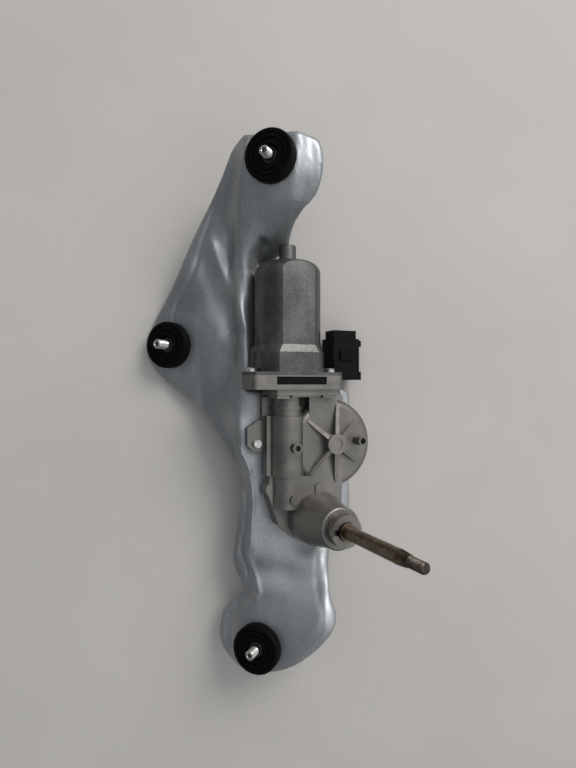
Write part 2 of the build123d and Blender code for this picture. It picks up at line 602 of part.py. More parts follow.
def gearbox_cover():
    plate = plate_from(base_outline(), COVER_Z, -SEAL_T)
    for x, y in CASE_BOLTS:
        plate = plate - rod(CASE_BOLT_R + 0.4, 10, x, y, -5)
    return plate


def gearbox_gasket():
    plate = plate_from(base_outline(), -SEAL_T, 0)
    inside = rod(CHAMBER_R + 0.5, 4, WHEEL_X, WHEEL_Y, -2) + rod(OUTPUT_CHAMBER_R + 0.5, 4, z=-2)
    plate = plate - inside - slab(SWING_ROOM, 4, -2)
    for x, y in CASE_BOLTS:
        plate = plate - rod(CASE_BOLT_R + 0.4, 10, x, y, -5)
    return plate


def housing_bolts():
    """Three flanged hexagon bolts that come up through the bracket and the cover."""
    made = []
    under = COVER_Z - SEAT_GAP - SHEET_T - 0.02
    for x, y in CASE_BOLTS:
        washer = rod(CASE_BOLT_HEAD_R + 0.5, 1.0, x, y, under - 1.0)
        hexagon = extrude(RegularPolygon(CASE_BOLT_HEAD_R, 6), CASE_BOLT_HEAD_T)
        head = Pos(x, y, under - CASE_BOLT_HEAD_T) * hexagon
        shank = rod(CASE_BOLT_R, CASE_BOLT_DEPTH - under, x, y, under)
        made.append(washer + head + shank)
    return made


# ------------------------------------------------------------------ toothed parts
def tooth_half_angle(radius, teeth, module, backlash):
    """Half the angle a tooth fills at a radius, for a twenty degree involute."""
    pitch_r = module * teeth / 2
    base_r = pitch_r * cos(radians(20))
    at = max(radius, base_r)
    lean = acos(base_r / at)
    grown = tan(lean) - lean
    pitch_grown = tan(radians(20)) - radians(20)
    return pi / (2 * teeth) + pitch_grown - grown - backlash / (2 * pitch_r)


def gear_points(teeth, module, backlash, first, shown, steps):
    """Outline points of teeth, counted anticlockwise from the one centred on the angle first."""
    pitch_r = module * teeth / 2
    radii = [pitch_r - 1.25 * module, *steps, pitch_r + module]
    points = []
    for i in range(shown):
        middle = radians(first + i * 360 / teeth)
        for radius in radii:
            angle = middle - tooth_half_angle(radius, teeth, module, backlash)
            points.append((radius * cos(angle), radius * sin(angle)))
        for radius in reversed(radii):
            angle = middle + tooth_half_angle(radius, teeth, module, backlash)
            points.append((radius * cos(angle), radius * sin(angle)))
    return points


def worm_wheel():
    outline = gear_points(WHEEL_TEETH, WORM_MODULE, WORM_BACKLASH, 0, WHEEL_TEETH, [WHEEL_PITCH_R])
    twist = degrees(tan(WORM_LEAD_ANGLE) * WHEEL_WIDTH / 2 / WHEEL_PITCH_R)
    face = make_face(Polyline(*outline, close=True))
    under = Pos(0, 0, WHEEL_Z) * Rot(0, 0, -twist) * face
    top = Pos(0, 0, WHEEL_Z + WHEEL_WIDTH) * Rot(0, 0, twist) * face
    wheel = loft([under, top], ruled=True)
    wheel = wheel - ring(WHEEL_WEB_R, WHEEL_HUB_R + 2.5, 10, z=WHEEL_Z + WHEEL_WEB_T)
    wheel = wheel + rod(WHEEL_HUB_R, WHEEL_HUB_TOP - WHEEL_Z, z=WHEEL_Z)
    for i in range(6):
        rib = block(WHEEL_HUB_R - 0.5, WHEEL_WEB_R + 0.5, -0.9, 0.9, WHEEL_Z + 1, WHEEL_Z + WHEEL_WEB_T + 1.2)
        wheel = wheel + Rot(0, 0, 30 + 60 * i) * rib
    wheel = wheel - rod(AXLE_R + RUN_GAP, 40)
    return Pos(WHEEL_X, WHEEL_Y, 0) * wheel


def park_disc():
    """Switch track on the wheel's upper side, with the gap that stops the blade in its parked place."""
    track = ring(WHEEL_WEB_R - 0.3, 12.5, 0.8, z=WHEEL_Z + WHEEL_WEB_T + 1.2)
    track = track - block(10, 20, -4, 4, 0, 40)
    return Pos(WHEEL_X, WHEEL_Y, 0) * Rot(0, 0, 200) * track


def output_pinion():
    first = LINK_SIDE + 180 / LINK_TEETH
    steps = [LINK_PITCH_R - 0.45, LINK_PITCH_R, LINK_PITCH_R + 0.45]
    outline = gear_points(LINK_TEETH, LINK_MODULE, LINK_BACKLASH, first, LINK_TEETH, steps)
    gear = slab(outline, SECTOR_T, SECTOR_Z)
    gear = gear + rod(6.8, PINION_HUB_TOP - SECTOR_TOP, z=SECTOR_TOP)
    return gear - rod(SHAFT_R, 40, z=-5)


def link_arm(x, y, eye_a, eye_b, z0, z1):
    """A flat bar from the origin to x, y with a round eye at each end."""
    length = sqrt(x * x + y * y)
    half = min(eye_a, eye_b) - 1.2
    shank = block(0, length, -half, half, z0, z1)
    bar = Rot(0, 0, degrees(atan2(y, x))) * shank
    return bar + rod(eye_a, z1 - z0, z=z0) + rod(eye_b, z1 - z0, x, y, z0)


def link_plate():
    plate = link_arm(PIVOT_X, PIVOT_Y, 6.6, PIVOT_EYE_R, ROCKER_Z, ROCKER_Z + ROCKER_T)
    plate = plate - rod(SHAFT_FOOT_R + RUN_GAP, 10, z=-2)
    return plate - rod(PIVOT_PIN_R, 10, PIVOT_X, PIVOT_Y, -2)


def pivot_rivet():
    pin = rod(PIVOT_PIN_R, SECTOR_TOP + 0.1 - ROCKER_Z, PIVOT_X, PIVOT_Y, ROCKER_Z)
    return pin + rod(PIVOT_PIN_R + 1.2, 0.5, PIVOT_X, PIVOT_Y, ROCKER_Z - 0.5)


def sector_rod():
    """Rod from the crank to the rocking pivot, with gear teeth cut round the pivot end."""
    first = LINK_SIDE + 180 - (SECTOR_TEETH_SHOWN - 1) / 2 * 360 / LINK_TEETH
    steps = [LINK_PITCH_R - 0.45, LINK_PITCH_R, LINK_PITCH_R + 0.45]
    teeth = gear_points(LINK_TEETH, LINK_MODULE, LINK_BACKLASH, first, SECTOR_TEETH_SHOWN, steps)
    sector = slab([(0, 0), *teeth], SECTOR_T, SECTOR_Z)
    arm = link_arm(CRANK_X - PIVOT_X, CRANK_Y - PIVOT_Y, PIVOT_EYE_R, PIVOT_EYE_R, SECTOR_Z, SECTOR_TOP)
    made = sector + arm - rod(PIVOT_PIN_R + RUN_GAP, 10, z=-2)
    made = made - rod(CRANK_PIN_R, 10, CRANK_X - PIVOT_X, CRANK_Y - PIVOT_Y, -2)
    return Pos(PIVOT_X, PIVOT_Y, 0) * made


def crank_pin():
    pin = rod(CRANK_PIN_R, SECTOR_TOP + 0.1 - ROCKER_Z, CRANK_X, CRANK_Y, ROCKER_Z)
    return pin + rod(CRANK_PIN_R + 1.3, 0.9, CRANK_X, CRANK_Y, SECTOR_Z - 0.9)


def wheel_axle():
    axle = rod(AXLE_R, AXLE_TOP - WHEEL_Z, WHEEL_X, WHEEL_Y, WHEEL_Z)
    return chamfer(axle.edges().group_by(Axis.Z)[-1], 0.5)


def park_contacts():
    """Three spring blades under the case roof that feel the track on the wheel."""
    roof = CASE_DEPTH - CASE_ROOF
    made = []
    for radius in (13.3, 15.3, 17.3):
        carrier = block(radius - 0.6, radius + 0.6, 5.5, 9.0, roof - 0.6, roof)
        blade = block(radius - 0.5, radius + 0.5, -3.0, 9.0, roof - 1.0, roof - 0.6)
        point = block(radius - 0.5, radius + 0.5, -3.0, -2.2, TRACK_TOP + FACE_GAP, roof - 0.6)
        made.append(Pos(WHEEL_X, WHEEL_Y, 0) * Rot(0, 0, 60) * (carrier + blade + point))
    return made


# ------------------------------------------------------------------ output shaft
def output_shaft():
    """Drive shaft: foot journal, plain bar, serrated taper for the wiper arm and threaded end."""
    taper_top = SHAFT_TIP_Z - THREAD_LENGTH
    taper_foot = taper_top - KNURL_LENGTH
    shaft = rod(SHAFT_FOOT_R, SECTOR_Z + 0.5) + rod(SHAFT_R, taper_foot - SECTOR_Z, z=SECTOR_Z)
    crown = []
    for z, outer in ((taper_foot, SHAFT_R), (taper_top, SHAFT_R - 0.6)):
        ends = []
        for i in range(2 * SERRATIONS):
            radius = outer if i % 2 else outer - 0.45
            angle = pi * i / SERRATIONS
            ends.append((radius * cos(angle), radius * sin(angle)))
        crown.append(Pos(0, 0, z) * make_face(Polyline(*ends, close=True)))
    shaft = shaft + loft(crown, ruled=True)
    shaft = shaft + threaded_end(THREAD_R, taper_top, SHAFT_TIP_Z)
    groove = ring(SHAFT_R + 1, SHAFT_R - 0.4, 1.2, z=CLIP_Z)
    return shaft - groove


def shaft_clip():
    """Spring ring in its groove on the output shaft, above the nose."""
    clip = ring(SHAFT_R + 1.4, SHAFT_R - 0.4, 1.0, z=CLIP_Z + 0.1)
    return clip - block(0, 10, -1.5, 1.5, CLIP_Z - 1, CLIP_Z + 3)


def nose_bush(z):
    return ring(NOSE_BUSH_R, SHAFT_R + RUN_GAP, NOSE_BUSH_LENGTH, z=z)


def shaft_seal():
    return ring(SPIGOT_BORE_R - SEAL_SEAT_GAP, SHAFT_R + FACE_GAP, SEAL_LENGTH, z=SEAL_Z + 0.5)


def thrust_washer():
    return ring(NOSE_BUSH_R + 0.8, SHAFT_R, WASHER_T, z=PINION_HUB_TOP)


# ------------------------------------------------------------------ motor
ARM = Location((WORM_X, 0, WORM_Z), (-90, 0, 0))


def armature_shaft():
    """Motor shaft with the worm cut on it and a thin journal at each end."""
    shaft = rod(ARM_SHAFT_R, ARM_STEP_Y - WORM_BORE_START - 1, z=WORM_BORE_START + 1)
    shaft = shaft + rod(ARM_TAIL_R, ARM_END_Y - ARM_START_Y, z=ARM_START_Y)
    reach = WORM_TURNS * WORM_PITCH
    start = WHEEL_Y - reach / 2
    half = (WORM_PITCH / 2 - WORM_BACKLASH) / 2
    rise = tan(radians(20))
    foot = WORM_PITCH_R - WORM_MODULE * 1.5
    tip = WORM_PITCH_R + WORM_MODULE
    wide = half + (WORM_PITCH_R - foot) * rise
    slim = half - WORM_MODULE * rise
    tooth = Polyline((foot, 0, -wide), (tip, 0, -slim), (tip, 0, slim), (foot, 0, wide), close=True)
    path = Helix(pitch=WORM_PITCH, height=reach, radius=WORM_PITCH_R)
    thread = sweep(make_face(tooth), path=path, is_frenet=True)
    return ARM * (shaft + Pos(0, 0, start) * thread)


def lamination_stack():
    stack = rod(ARMATURE_R, STACK_LENGTH, z=STACK_Y) - rod(ARM_SHAFT_R, STACK_LENGTH + 2, z=STACK_Y - 1)
    for i in range(SLOTS):
        slot = rod(SLOT_R, STACK_LENGTH + 2, SLOT_AT, 0, STACK_Y - 1)
        mouth = block(SLOT_AT, ARMATURE_R + 1, -0.7, 0.7, STACK_Y - 1, STACK_Y + STACK_LENGTH + 1)
        stack = stack - Rot(0, 0, 360 / SLOTS * i) * (slot + mouth)
    return ARM * stack


def armature_windings():
    """Copper in the slots and the end turns on both sides of the stack."""
    coil = rod(ARMATURE_R - 1.6, END_TURN, z=STACK_Y - END_TURN)
    coil = coil + rod(ARMATURE_R - 1.6, END_TURN, z=STACK_Y + STACK_LENGTH)
    coil = fillet(coil.edges().filter_by(GeomType.CIRCLE).group_by(Axis.Z)[0], 2)
    coil = fillet(coil.edges().filter_by(GeomType.CIRCLE).group_by(Axis.Z)[-1], 2)
    coil = coil - rod(ARM_SHAFT_R + 0.2, 100, z=STACK_Y - 20)
    for i in range(SLOTS):
        coil = coil + Rot(0, 0, 360 / SLOTS * i) * rod(SLOT_R - 0.15, STACK_LENGTH + 2, SLOT_AT, 0, STACK_Y - 1)
        cleft = block(8.5, 20, -0.5, 0.5, STACK_Y - END_TURN - 1, STACK_Y - 0.5)
        other = block(8.5, 20, -0.5, 0.5, STACK_Y + STACK_LENGTH + 0.5, STACK_Y + STACK_LENGTH + 20)
        coil = coil - Rot(0, 0, 360 / SLOTS * (i + 0.5)) * (cleft + other)
    return ARM * coil


def commutator():
    drum = ring(COMMUTATOR_R, ARM_SHAFT_R, COMMUTATOR_LENGTH, z=COMMUTATOR_Y)
    drum = drum + ring(COMMUTATOR_R + 1.2, ARM_SHAFT_R, 1.6, z=COMMUTATOR_Y + COMMUTATOR_LENGTH)
    for i in range(SLOTS):
        cut = block(COMMUTATOR_R - 0.8, 20, -0.25, 0.25, COMMUTATOR_Y - 1, COMMUTATOR_Y + 30)
        drum = drum - Rot(0, 0, 360 / SLOTS * i) * cut
    return ARM * drum


def can_shell(radius, flat, shrink):
    """The drawn cup with flat sides, made smaller all round by shrink."""
    r = radius - shrink
    top = CAN_TOP_Y - shrink
    shoulder = CAN_TOP_Y - CAN_DOME
    neck = CAN_NOSE_R + 0.7 - shrink
    wall = Polyline((0, 0, CAN_Y - 1), (r, 0, CAN_Y - 1), (r, 0, shoulder))
    dome = Spline((r, 0, shoulder), (r - 2.2, 0, shoulder + 5.4), (neck, 0, top),
                  tangents=[(0, 0, 1), (-1, 0, 0.12)])
    close = Polyline((neck, 0, top), (0, 0, top), (0, 0, CAN_Y - 1))
    solid = revolve(make_face(Wire([*wall.edges(), *dome.edges(), *close.edges()])), Axis.Z)
    side = flat - shrink
    return solid & Box(100, 2 * side, 500)


def foot_shell(shrink):
    """The wider foot of the cup, blending into its sides."""
    r = CAN_FOOT_R - shrink
    slim = CAN_R - shrink
    end = CAN_Y + CAN_FOOT_LENGTH
    points = [(0, CAN_Y - 1), (r, CAN_Y - 1), (r, end), (slim, end + 4.5), (0, end + 4.5)]
    solid = revolve(make_face(Polyline(*[(x, 0, z) for x, z in points], close=True)), Axis.Z)
    side = CAN_FOOT_FLAT - shrink
    slope = loft([
        Pos(0, 0, end) * Rectangle(100, 2 * side),
        Pos(0, 0, end + 4.5) * Rectangle(100, 2 * (CAN_FLAT - shrink)),
    ])
    blank = block(-50, 50, -side, side, 0, end) + slope
    return solid & blank


def motor_can():
    can = can_shell(CAN_R, CAN_FLAT, 0) + foot_shell(0)
    nose = rod(CAN_NOSE_R, CAN_NOSE_LENGTH + 1, z=CAN_TOP_Y - 1)
    nose = fillet(nose.edges().group_by(Axis.Z)[-1], 1.0)
    can = can + nose
    can = can & block(-50, 50, -50, 50, CAN_Y, 500)
    hollow = can_shell(CAN_R, CAN_FLAT, CAN_WALL) + foot_shell(CAN_WALL)
    can = can - hollow - rod(CAN_BEARING_R, CAN_BEARING_TOP - 100, z=100)
    can = ARM * can
    plate = flange_face(CAN_Y - CAN_PLATE_T, CAN_Y)
    plate = plate - ARM * rod(BRUSH_ROOM_R, 50, z=CAN_Y - 10)
    can = can + plate
    for side in (-1, 1):
        can = can - bar_y(CAN_SCREW_R + 0.2, 70, 120, WORM_X + side * CAN_SCREW_X, CAN_SCREW_Z)
    return can


def can_screws():
    made = []
    for side in (-1, 1):
        x = WORM_X + side * CAN_SCREW_X
        shank = bar_y(CAN_SCREW_R, FLANGE_Y + 1.5, CAN_Y + 1, x, CAN_SCREW_Z)
        head = bar_y(CAN_SCREW_HEAD_R, CAN_Y, CAN_Y + 2.6, x, CAN_SCREW_Z)
        head = chamfer(head.edges().group_by(Axis.Y)[-1], 0.6)
        made.append(shank + head - bar_y(1.5, CAN_Y + 1.2, CAN_Y + 5, x, CAN_SCREW_Z))
    return made


def magnet(side):
    outer = CAN_R - CAN_WALL - RUN_GAP
    arc = ring(outer, ARMATURE_R + AIR_GAP, MAGNET_LENGTH, z=MAGNET_Y)
    reach = 30
    half = reach * tan(radians(MAGNET_HALF_ANGLE))
    keep = slab([(0, 0), (reach, -half), (reach, half)], 300)
    return ARM * (Rot(0, 0, 0 if side > 0 else 180) * (arc & keep))


def brush_holder():
    """Moulded plate that carries the brush guides and shows in the flange window."""
    plate_y = FLANGE_Y + 3.3
    plate = ring(BRUSH_ROOM_R - 0.2, COMMUTATOR_R + 1.5, 4.2, z=plate_y)
    for side in (-1, 1):
        guide = block(-3.6, 3.6, 8.6, 16.2, plate_y, COMMUTATOR_Y + COMMUTATOR_LENGTH - 0.5)
        guide = guide - block(-2.6, 2.6, 8, 15.4, COMMUTATOR_Y + 0.2, COMMUTATOR_Y + COMMUTATOR_LENGTH - 1.5)
        plate = plate + Rot(0, 0, 90 - 90 * side) * guide
    holder = ARM * plate
    top = WORM_Z + FLANGE_HALF_H - 0.8
    return holder + block(WINDOW_X0 + 0.2, WINDOW_X1 - 0.2, plate_y, plate_y + 4.2, WORM_Z + 10, top)


def brushes():
    made = []
    for turn in (0, 180):
        brush = block(-2.4, 2.4, COMMUTATOR_R + FACE_GAP, 12.5, COMMUTATOR_Y + 0.4, COMMUTATOR_Y + 7.2)
        made.append(ARM * (Rot(0, 0, turn) * brush))
    return made


def brush_springs():
    made = []
    for turn in (0, 180):
        path = Helix(pitch=0.8, height=2.1, radius=1.6)
        wire = sweep(Plane(path @ 0, z_dir=path % 0) * Circle(0.25), path=path)
        coil = Pos(0, 12.5 + FACE_GAP, COMMUTATOR_Y + 3.8) * Rot(-90, 0, 0) * wire
        made.append(ARM * (Rot(0, 0, turn) * coil))
    return made


def worm_bearing():
    """Ball bearing beside the worm: two races, a cage web and eight balls."""
    bearing = ring(BEARING_R, BEARING_R - BEARING_RACE_T, BEARING_W, z=BEARING_Y)
    bearing = bearing + ring(ARM_SHAFT_R + RUN_GAP + 0.9, ARM_SHAFT_R + RUN_GAP, BEARING_W, z=BEARING_Y)
    bearing = bearing + ring(BEARING_R - 1.0, ARM_SHAFT_R + 0.9, 0.6, z=BEARING_Y + BEARING_W / 2 - 0.3)
    for i in range(BALLS):
        ball = Pos(BALL_CIRCLE_R, 0, BEARING_Y + BEARING_W / 2) * Sphere(BALL_R)
        bearing = bearing + Rot(0, 0, 360 / BALLS * i) * ball
    return ARM * bearing


def worm_end_bush():
    start = END_BUSH_Y + THRUST_T
    return ARM * ring(END_BUSH_R, ARM_TAIL_R + RUN_GAP, WORM_BORE_START - start, z=start)


def thrust_pad():
    return ARM * rod(END_BUSH_R, THRUST_T, z=END_BUSH_Y)


def can_bearing():
    length = CAN_BEARING_TOP - CAN_BEARING_Y - CAN_BEARING_PLAY
    return ARM * ring(CAN_BEARING_R, ARM_TAIL_R + RUN_GAP, length, z=CAN_BEARING_Y)


# ------------------------------------------------------------------ connector
def connector_housing():
    x0 = PLUG_X - PLUG_W / 2
    x1 = PLUG_X + PLUG_W / 2
    z0 = PLUG_Z - PLUG_H / 2
    z1 = PLUG_Z + PLUG_H / 2
    end = PLUG_BACK_Y + PLUG_BODY_LENGTH
    body = block(x0, x1, PLUG_BACK_Y, end, z0, z1)
    body = chamfer(body.edges().filter_by(Axis.Y), 0.8)
    tongue = block(PLUG_TONGUE_X, x0 + 2, FLANGE_Y + 2, FLANGE_Y + FLANGE_DEPTH, z0 + 6, z1 - 0.5)
    body = body + (tongue - flange_face(FLANGE_Y, CAN_Y))
    half_w = PLUG_MOUTH_W / 2
    half_h = PLUG_MOUTH_H / 2
    mouth = block(PLUG_X - half_w, PLUG_X + half_w, end - 1, end + PLUG_MOUTH_LENGTH,
                  PLUG_Z - half_h, PLUG_Z + half_h)
    body = body + mouth
    body = body + block(x0 + 5, x1 - 5, end - 14, end - 8, z1 - 1, z1 + 1.6)
    body = body + block(x1 - 1, x1 + 1.4, PLUG_BACK_Y, PLUG_BACK_Y + 5.5, PLUG_Z - 2, z1 - 0.8)
    body = body + block(x1 - 1, x1 + 1.4, end - 5, end - 1, PLUG_Z - 2, z1 - 0.8)
    wall = PLUG_WALL
    socket = block(PLUG_X - half_w + wall, PLUG_X + half_w - wall, end + PLUG_MOUTH_LENGTH - PLUG_SOCKET_DEPTH,
                   end + PLUG_MOUTH_LENGTH + 1, PLUG_Z - half_h + wall, PLUG_Z + half_h - wall)
    body = body - socket
    for x, z in TERMINALS:
        body = body - block(x - 1.2, x + 1.2, end - 20, end + 1, z - 0.4, z + 0.4)
    return body


def connector_terminals():
    made = []
    end = PLUG_BACK_Y + PLUG_BODY_LENGTH
    for x, z in TERMINALS:
        blade = block(x - 1.2, x + 1.2, end - 20, end, z - 0.4, z + 0.4)
        made.append(chamfer(blade.edges().filter_by(Axis.Z).group_by(Axis.Y)[-1], 0.6))
    return made


# ------------------------------------------------------------------ all the pieces
def pieces():
    """Every piece by name, in the bench frame."""
    fixed = {
        "gear_housing": gear_housing(),
        "gearbox_cover": gearbox_cover(),
        "gearbox_gasket": gearbox_gasket(),
        "housing_bolts": housing_bolts(),
        "motor_can": motor_can(),
        "can_screws": can_screws(),
        "magnet_left": magnet(-1),
        "magnet_right": magnet(1),
        "brush_holder": brush_holder(),
        "brushes": brushes(),
        "brush_springs": brush_springs(),
        "worm_bearing": worm_bearing(),
        "worm_end_bush": worm_end_bush(),
        "thrust_pad": thrust_pad(),
        "can_bearing": can_bearing(),
        "nose_bush_lower": nose_bush(PINION_ROOM),
        "nose_bush_upper": nose_bush(SEAL_Z - NOSE_BUSH_LENGTH),
        "shaft_seal": shaft_seal(),
        "wheel_axle": wheel_axle(),
        "park_contacts": park_contacts(),
        "connector_housing": connector_housing(),
        "connector_terminals": connector_terminals(),
        "armature_shaft": armature_shaft(),
        "lamination_stack": lamination_stack(),
        "armature_windings": armature_windings(),
        "commutator": commutator(),
        "worm_wheel": worm_wheel(),
        "park_disc": park_disc(),
        "link_plate": link_plate(),
        "pivot_rivet": pivot_rivet(),
        "sector_rod": sector_rod(),
        "crank_pin": crank_pin(),
        "output_shaft": output_shaft(),
        "output_pinion": output_pinion(),
        "thrust_washer": thrust_washer(),
        "shaft_clip": shaft_clip(),
    }
    made = {}
    for name, shape in fixed.items():
        parts = shape if isinstance(shape, list) else [shape]
        made[name] = [in_motor(part) for part in parts]
    made["bracket"] = [bracket()]
    made["grommet_upper"] = [grommet("upper")]
    made["grommet_left"] = [grommet("left")]
    made["grommet_lower"] = [grommet("lower")]
    made["grommet_sleeves"] = sleeves()
    made["mounting_studs"] = studs()
    return made


def bench_shift(made):
    """Move that puts the middle of the whole outline over the origin and its lowest point on the bench."""
    boxes = [part.bounding_box() for parts in made.values() for part in parts]
    low = [min(box.min.X for box in boxes), min(box.min.Y for box in boxes), min(box.min.Z for box in boxes)]
    high = [max(box.max.X for box in boxes), max(box.max.Y for box in boxes)]
    return (-(low[0] + high[0]) / 2, -(low[1] + high[1]) / 2, -low[2])


if __name__ == "__main__":
    os.makedirs("parts", exist_ok=True)
    everything = pieces()
    shift = Pos(*bench_shift(everything))
    for name, parts in everything.items():
        placed = [shift * part for part in parts]
        export_step(placed[0] if len(placed) == 1 else Compound(children=placed), f"parts/{name}.step")
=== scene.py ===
import json
import math

import bpy
import numpy as np
from mathutils import Matrix, Vector
from mathutils.bvhtree import BVHTree


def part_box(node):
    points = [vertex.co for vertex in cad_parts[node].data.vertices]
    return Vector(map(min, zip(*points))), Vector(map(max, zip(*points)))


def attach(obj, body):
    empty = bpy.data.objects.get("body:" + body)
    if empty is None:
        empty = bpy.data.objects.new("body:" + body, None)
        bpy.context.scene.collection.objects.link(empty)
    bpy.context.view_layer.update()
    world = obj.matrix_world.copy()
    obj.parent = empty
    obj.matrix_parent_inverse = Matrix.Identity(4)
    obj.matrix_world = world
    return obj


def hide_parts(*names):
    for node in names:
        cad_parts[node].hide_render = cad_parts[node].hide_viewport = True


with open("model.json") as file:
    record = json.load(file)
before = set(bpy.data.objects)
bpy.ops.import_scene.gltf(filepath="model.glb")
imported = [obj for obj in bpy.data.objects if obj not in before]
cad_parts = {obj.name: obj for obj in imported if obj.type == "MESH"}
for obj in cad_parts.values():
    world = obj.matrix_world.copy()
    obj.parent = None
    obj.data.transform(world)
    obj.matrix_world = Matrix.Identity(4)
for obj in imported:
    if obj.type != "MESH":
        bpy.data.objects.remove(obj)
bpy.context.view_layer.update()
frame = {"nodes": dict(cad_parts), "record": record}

NODES = frame["nodes"]
RECORD = frame["record"]
MM = 0.001


# ---------------------------------------------------------------- node helpers
class Finish:
    """A procedural material, with short calls for the nodes it is made of."""

    def __init__(self, name, metallic, ior=1.5, gloss=0.5):
        self.material = bpy.data.materials.new(name)
        self.material.use_nodes = True
        self.tree = self.material.node_tree
        self.shader = self.tree.nodes["Principled BSDF"]
        self.shader.inputs["Metallic"].default_value = metallic
        self.shader.inputs["IOR"].default_value = ior
        self.shader.inputs["Specular IOR Level"].default_value = gloss
        self.place = self.tree.nodes.new("ShaderNodeTexCoord").outputs["Object"]

    def link(self, value, socket):
        if isinstance(value, bpy.types.NodeSocket):
            self.tree.links.new(value, socket)
        else:
            socket.default_value = value

    def noise(self, scale, detail=4.0, rough=0.55, stretch=None):
        node = self.tree.nodes.new("ShaderNodeTexNoise")
        node.inputs["Scale"].default_value = scale
        node.inputs["Detail"].default_value = detail
        node.inputs["Roughness"].default_value = rough
        self.link(self.stretched(stretch) if stretch else self.place, node.inputs["Vector"])
        return node.outputs["Fac"]

    def cells(self, scale):
        node = self.tree.nodes.new("ShaderNodeTexVoronoi")
        node.inputs["Scale"].default_value = scale
        self.link(self.place, node.inputs["Vector"])
        grey = self.tree.nodes.new("ShaderNodeRGBToBW")
        self.link(node.outputs["Color"], grey.inputs["Color"])
        return grey.outputs["Val"]

    def stretched(self, factors):
        node = self.tree.nodes.new("ShaderNodeMapping")
        node.inputs["Scale"].default_value = factors
        self.link(self.place, node.inputs["Vector"])
        return node.outputs["Vector"]

    def times(self, value, factor):
        node = self.tree.nodes.new("ShaderNodeMath")
        node.operation = "MULTIPLY"
        self.link(value, node.inputs[0])
        node.inputs[1].default_value = factor
        return node.outputs[0]

    def spread(self, value, low, high, to_low=0.0, to_high=1.0):
        """A value's stretch from low to high, eased and brought to another range."""
        node = self.tree.nodes.new("ShaderNodeMapRange")
        node.interpolation_type = "SMOOTHSTEP"
        ends = {"From Min": low, "From Max": high, "To Min": to_low, "To Max": to_high}
        for name, number in ends.items():
            node.inputs[name].default_value = number
        self.link(value, node.inputs["Value"])
        return node.outputs["Result"]

    def mix(self, fac, a, b):
        node = self.tree.nodes.new("ShaderNodeMix")
        node.data_type = "RGBA"
        self.link(fac, node.inputs["Factor"])
        self.link(a if not isinstance(a, tuple) else (*a, 1.0), node.inputs["A"])
        self.link(b if not isinstance(b, tuple) else (*b, 1.0), node.inputs["B"])
        return node.outputs["Result"]

    def bump(self, height, distance, strength, under=None):
        """A fine relief of the given depth in metres, laid over the one under it."""
        node = self.tree.nodes.new("ShaderNodeBump")
        node.inputs["Strength"].default_value = strength
        node.inputs["Distance"].default_value = distance
        self.link(height, node.inputs["Height"])
        if under is not None:
            self.link(under, node.inputs["Normal"])
        return node.outputs["Normal"]

    def done(self, colour, roughness, normal=None):
        self.link(colour, self.shader.inputs["Base Color"])
        self.link(roughness, self.shader.inputs["Roughness"])
        if normal is not None:
            self.link(normal, self.shader.inputs["Normal"])
        return self.material


# ---------------------------------------------------------------- finishes
# noise and cell scales are per metre, and colours are linear
BLACK_GLOSS = 0.08
RUBBER_IOR = 1.45
PLASTIC_IOR = 1.5


def sheet_steel():
    """Galvanised pressing: blue-grey, cloudy, a little streaked along the drawn walls."""
    dark, light, rubbed = (0.235, 0.256, 0.270), (0.34, 0.36, 0.375), (0.42, 0.44, 0.45)
    fleck, scuffed = (0.54, 0.56, 0.57), (0.12, 0.13, 0.14)
    f = Finish("sheet_steel", metallic=0.85)
    cloud = f.spread(f.noise(22, detail=3), 0.35, 0.68)
    streak = f.noise(60, detail=5, rough=0.6, stretch=(1.0, 0.18, 1.0))
    flake = f.cells(900)
    colour = f.mix(cloud, dark, light)
    colour = f.mix(f.spread(streak, 0.45, 0.75, to_high=0.5), colour, rubbed)
    colour = f.mix(f.spread(flake, 0.2, 0.9, to_high=0.14), colour, fleck)
    scuff = f.spread(f.noise(140, detail=6, rough=0.7, stretch=(0.5, 2.0, 1.0)), 0.66, 0.72)
    colour = f.mix(f.times(scuff, 0.35), colour, scuffed)
    rough = f.spread(streak, 0.3, 0.7, 0.42, 0.54)
    normal = f.bump(f.noise(700, detail=3), 0.04 * MM, 0.35)
    normal = f.bump(f.noise(45, detail=2), 0.6 * MM, 0.25, under=normal)
    return f.done(colour, rough, normal)


def cast_alloy():
    """Die-cast gearcase: warm grey, slightly mottled, with a fine cast skin."""
    dark, light = (0.140, 0.134, 0.125), (0.208, 0.199, 0.185)
    fleck, dirt_and_shade_colour = (0.33, 0.318, 0.30), (0.05, 0.047, 0.043)
    f = Finish("cast_alloy", metallic=0.88)
    cloud = f.spread(f.noise(38), 0.35, 0.7)
    speck = f.noise(1500, detail=2)
    colour = f.mix(cloud, dark, light)
    colour = f.mix(f.spread(speck, 0.45, 0.7, to_high=0.3), colour, fleck)
    # in the gearcase this mask is random soiling, no painted shade
    grime_and_painted_shade = f.spread(f.noise(90, detail=6, rough=0.7), 0.58, 0.74, to_high=0.45)
    colour = f.mix(grime_and_painted_shade, colour, dirt_and_shade_colour)
    rough = f.spread(cloud, 0.0, 1.0, 0.36, 0.46)
    return f.done(colour, rough, f.bump(f.noise(1100, rough=0.6), 0.08 * MM, 0.55))


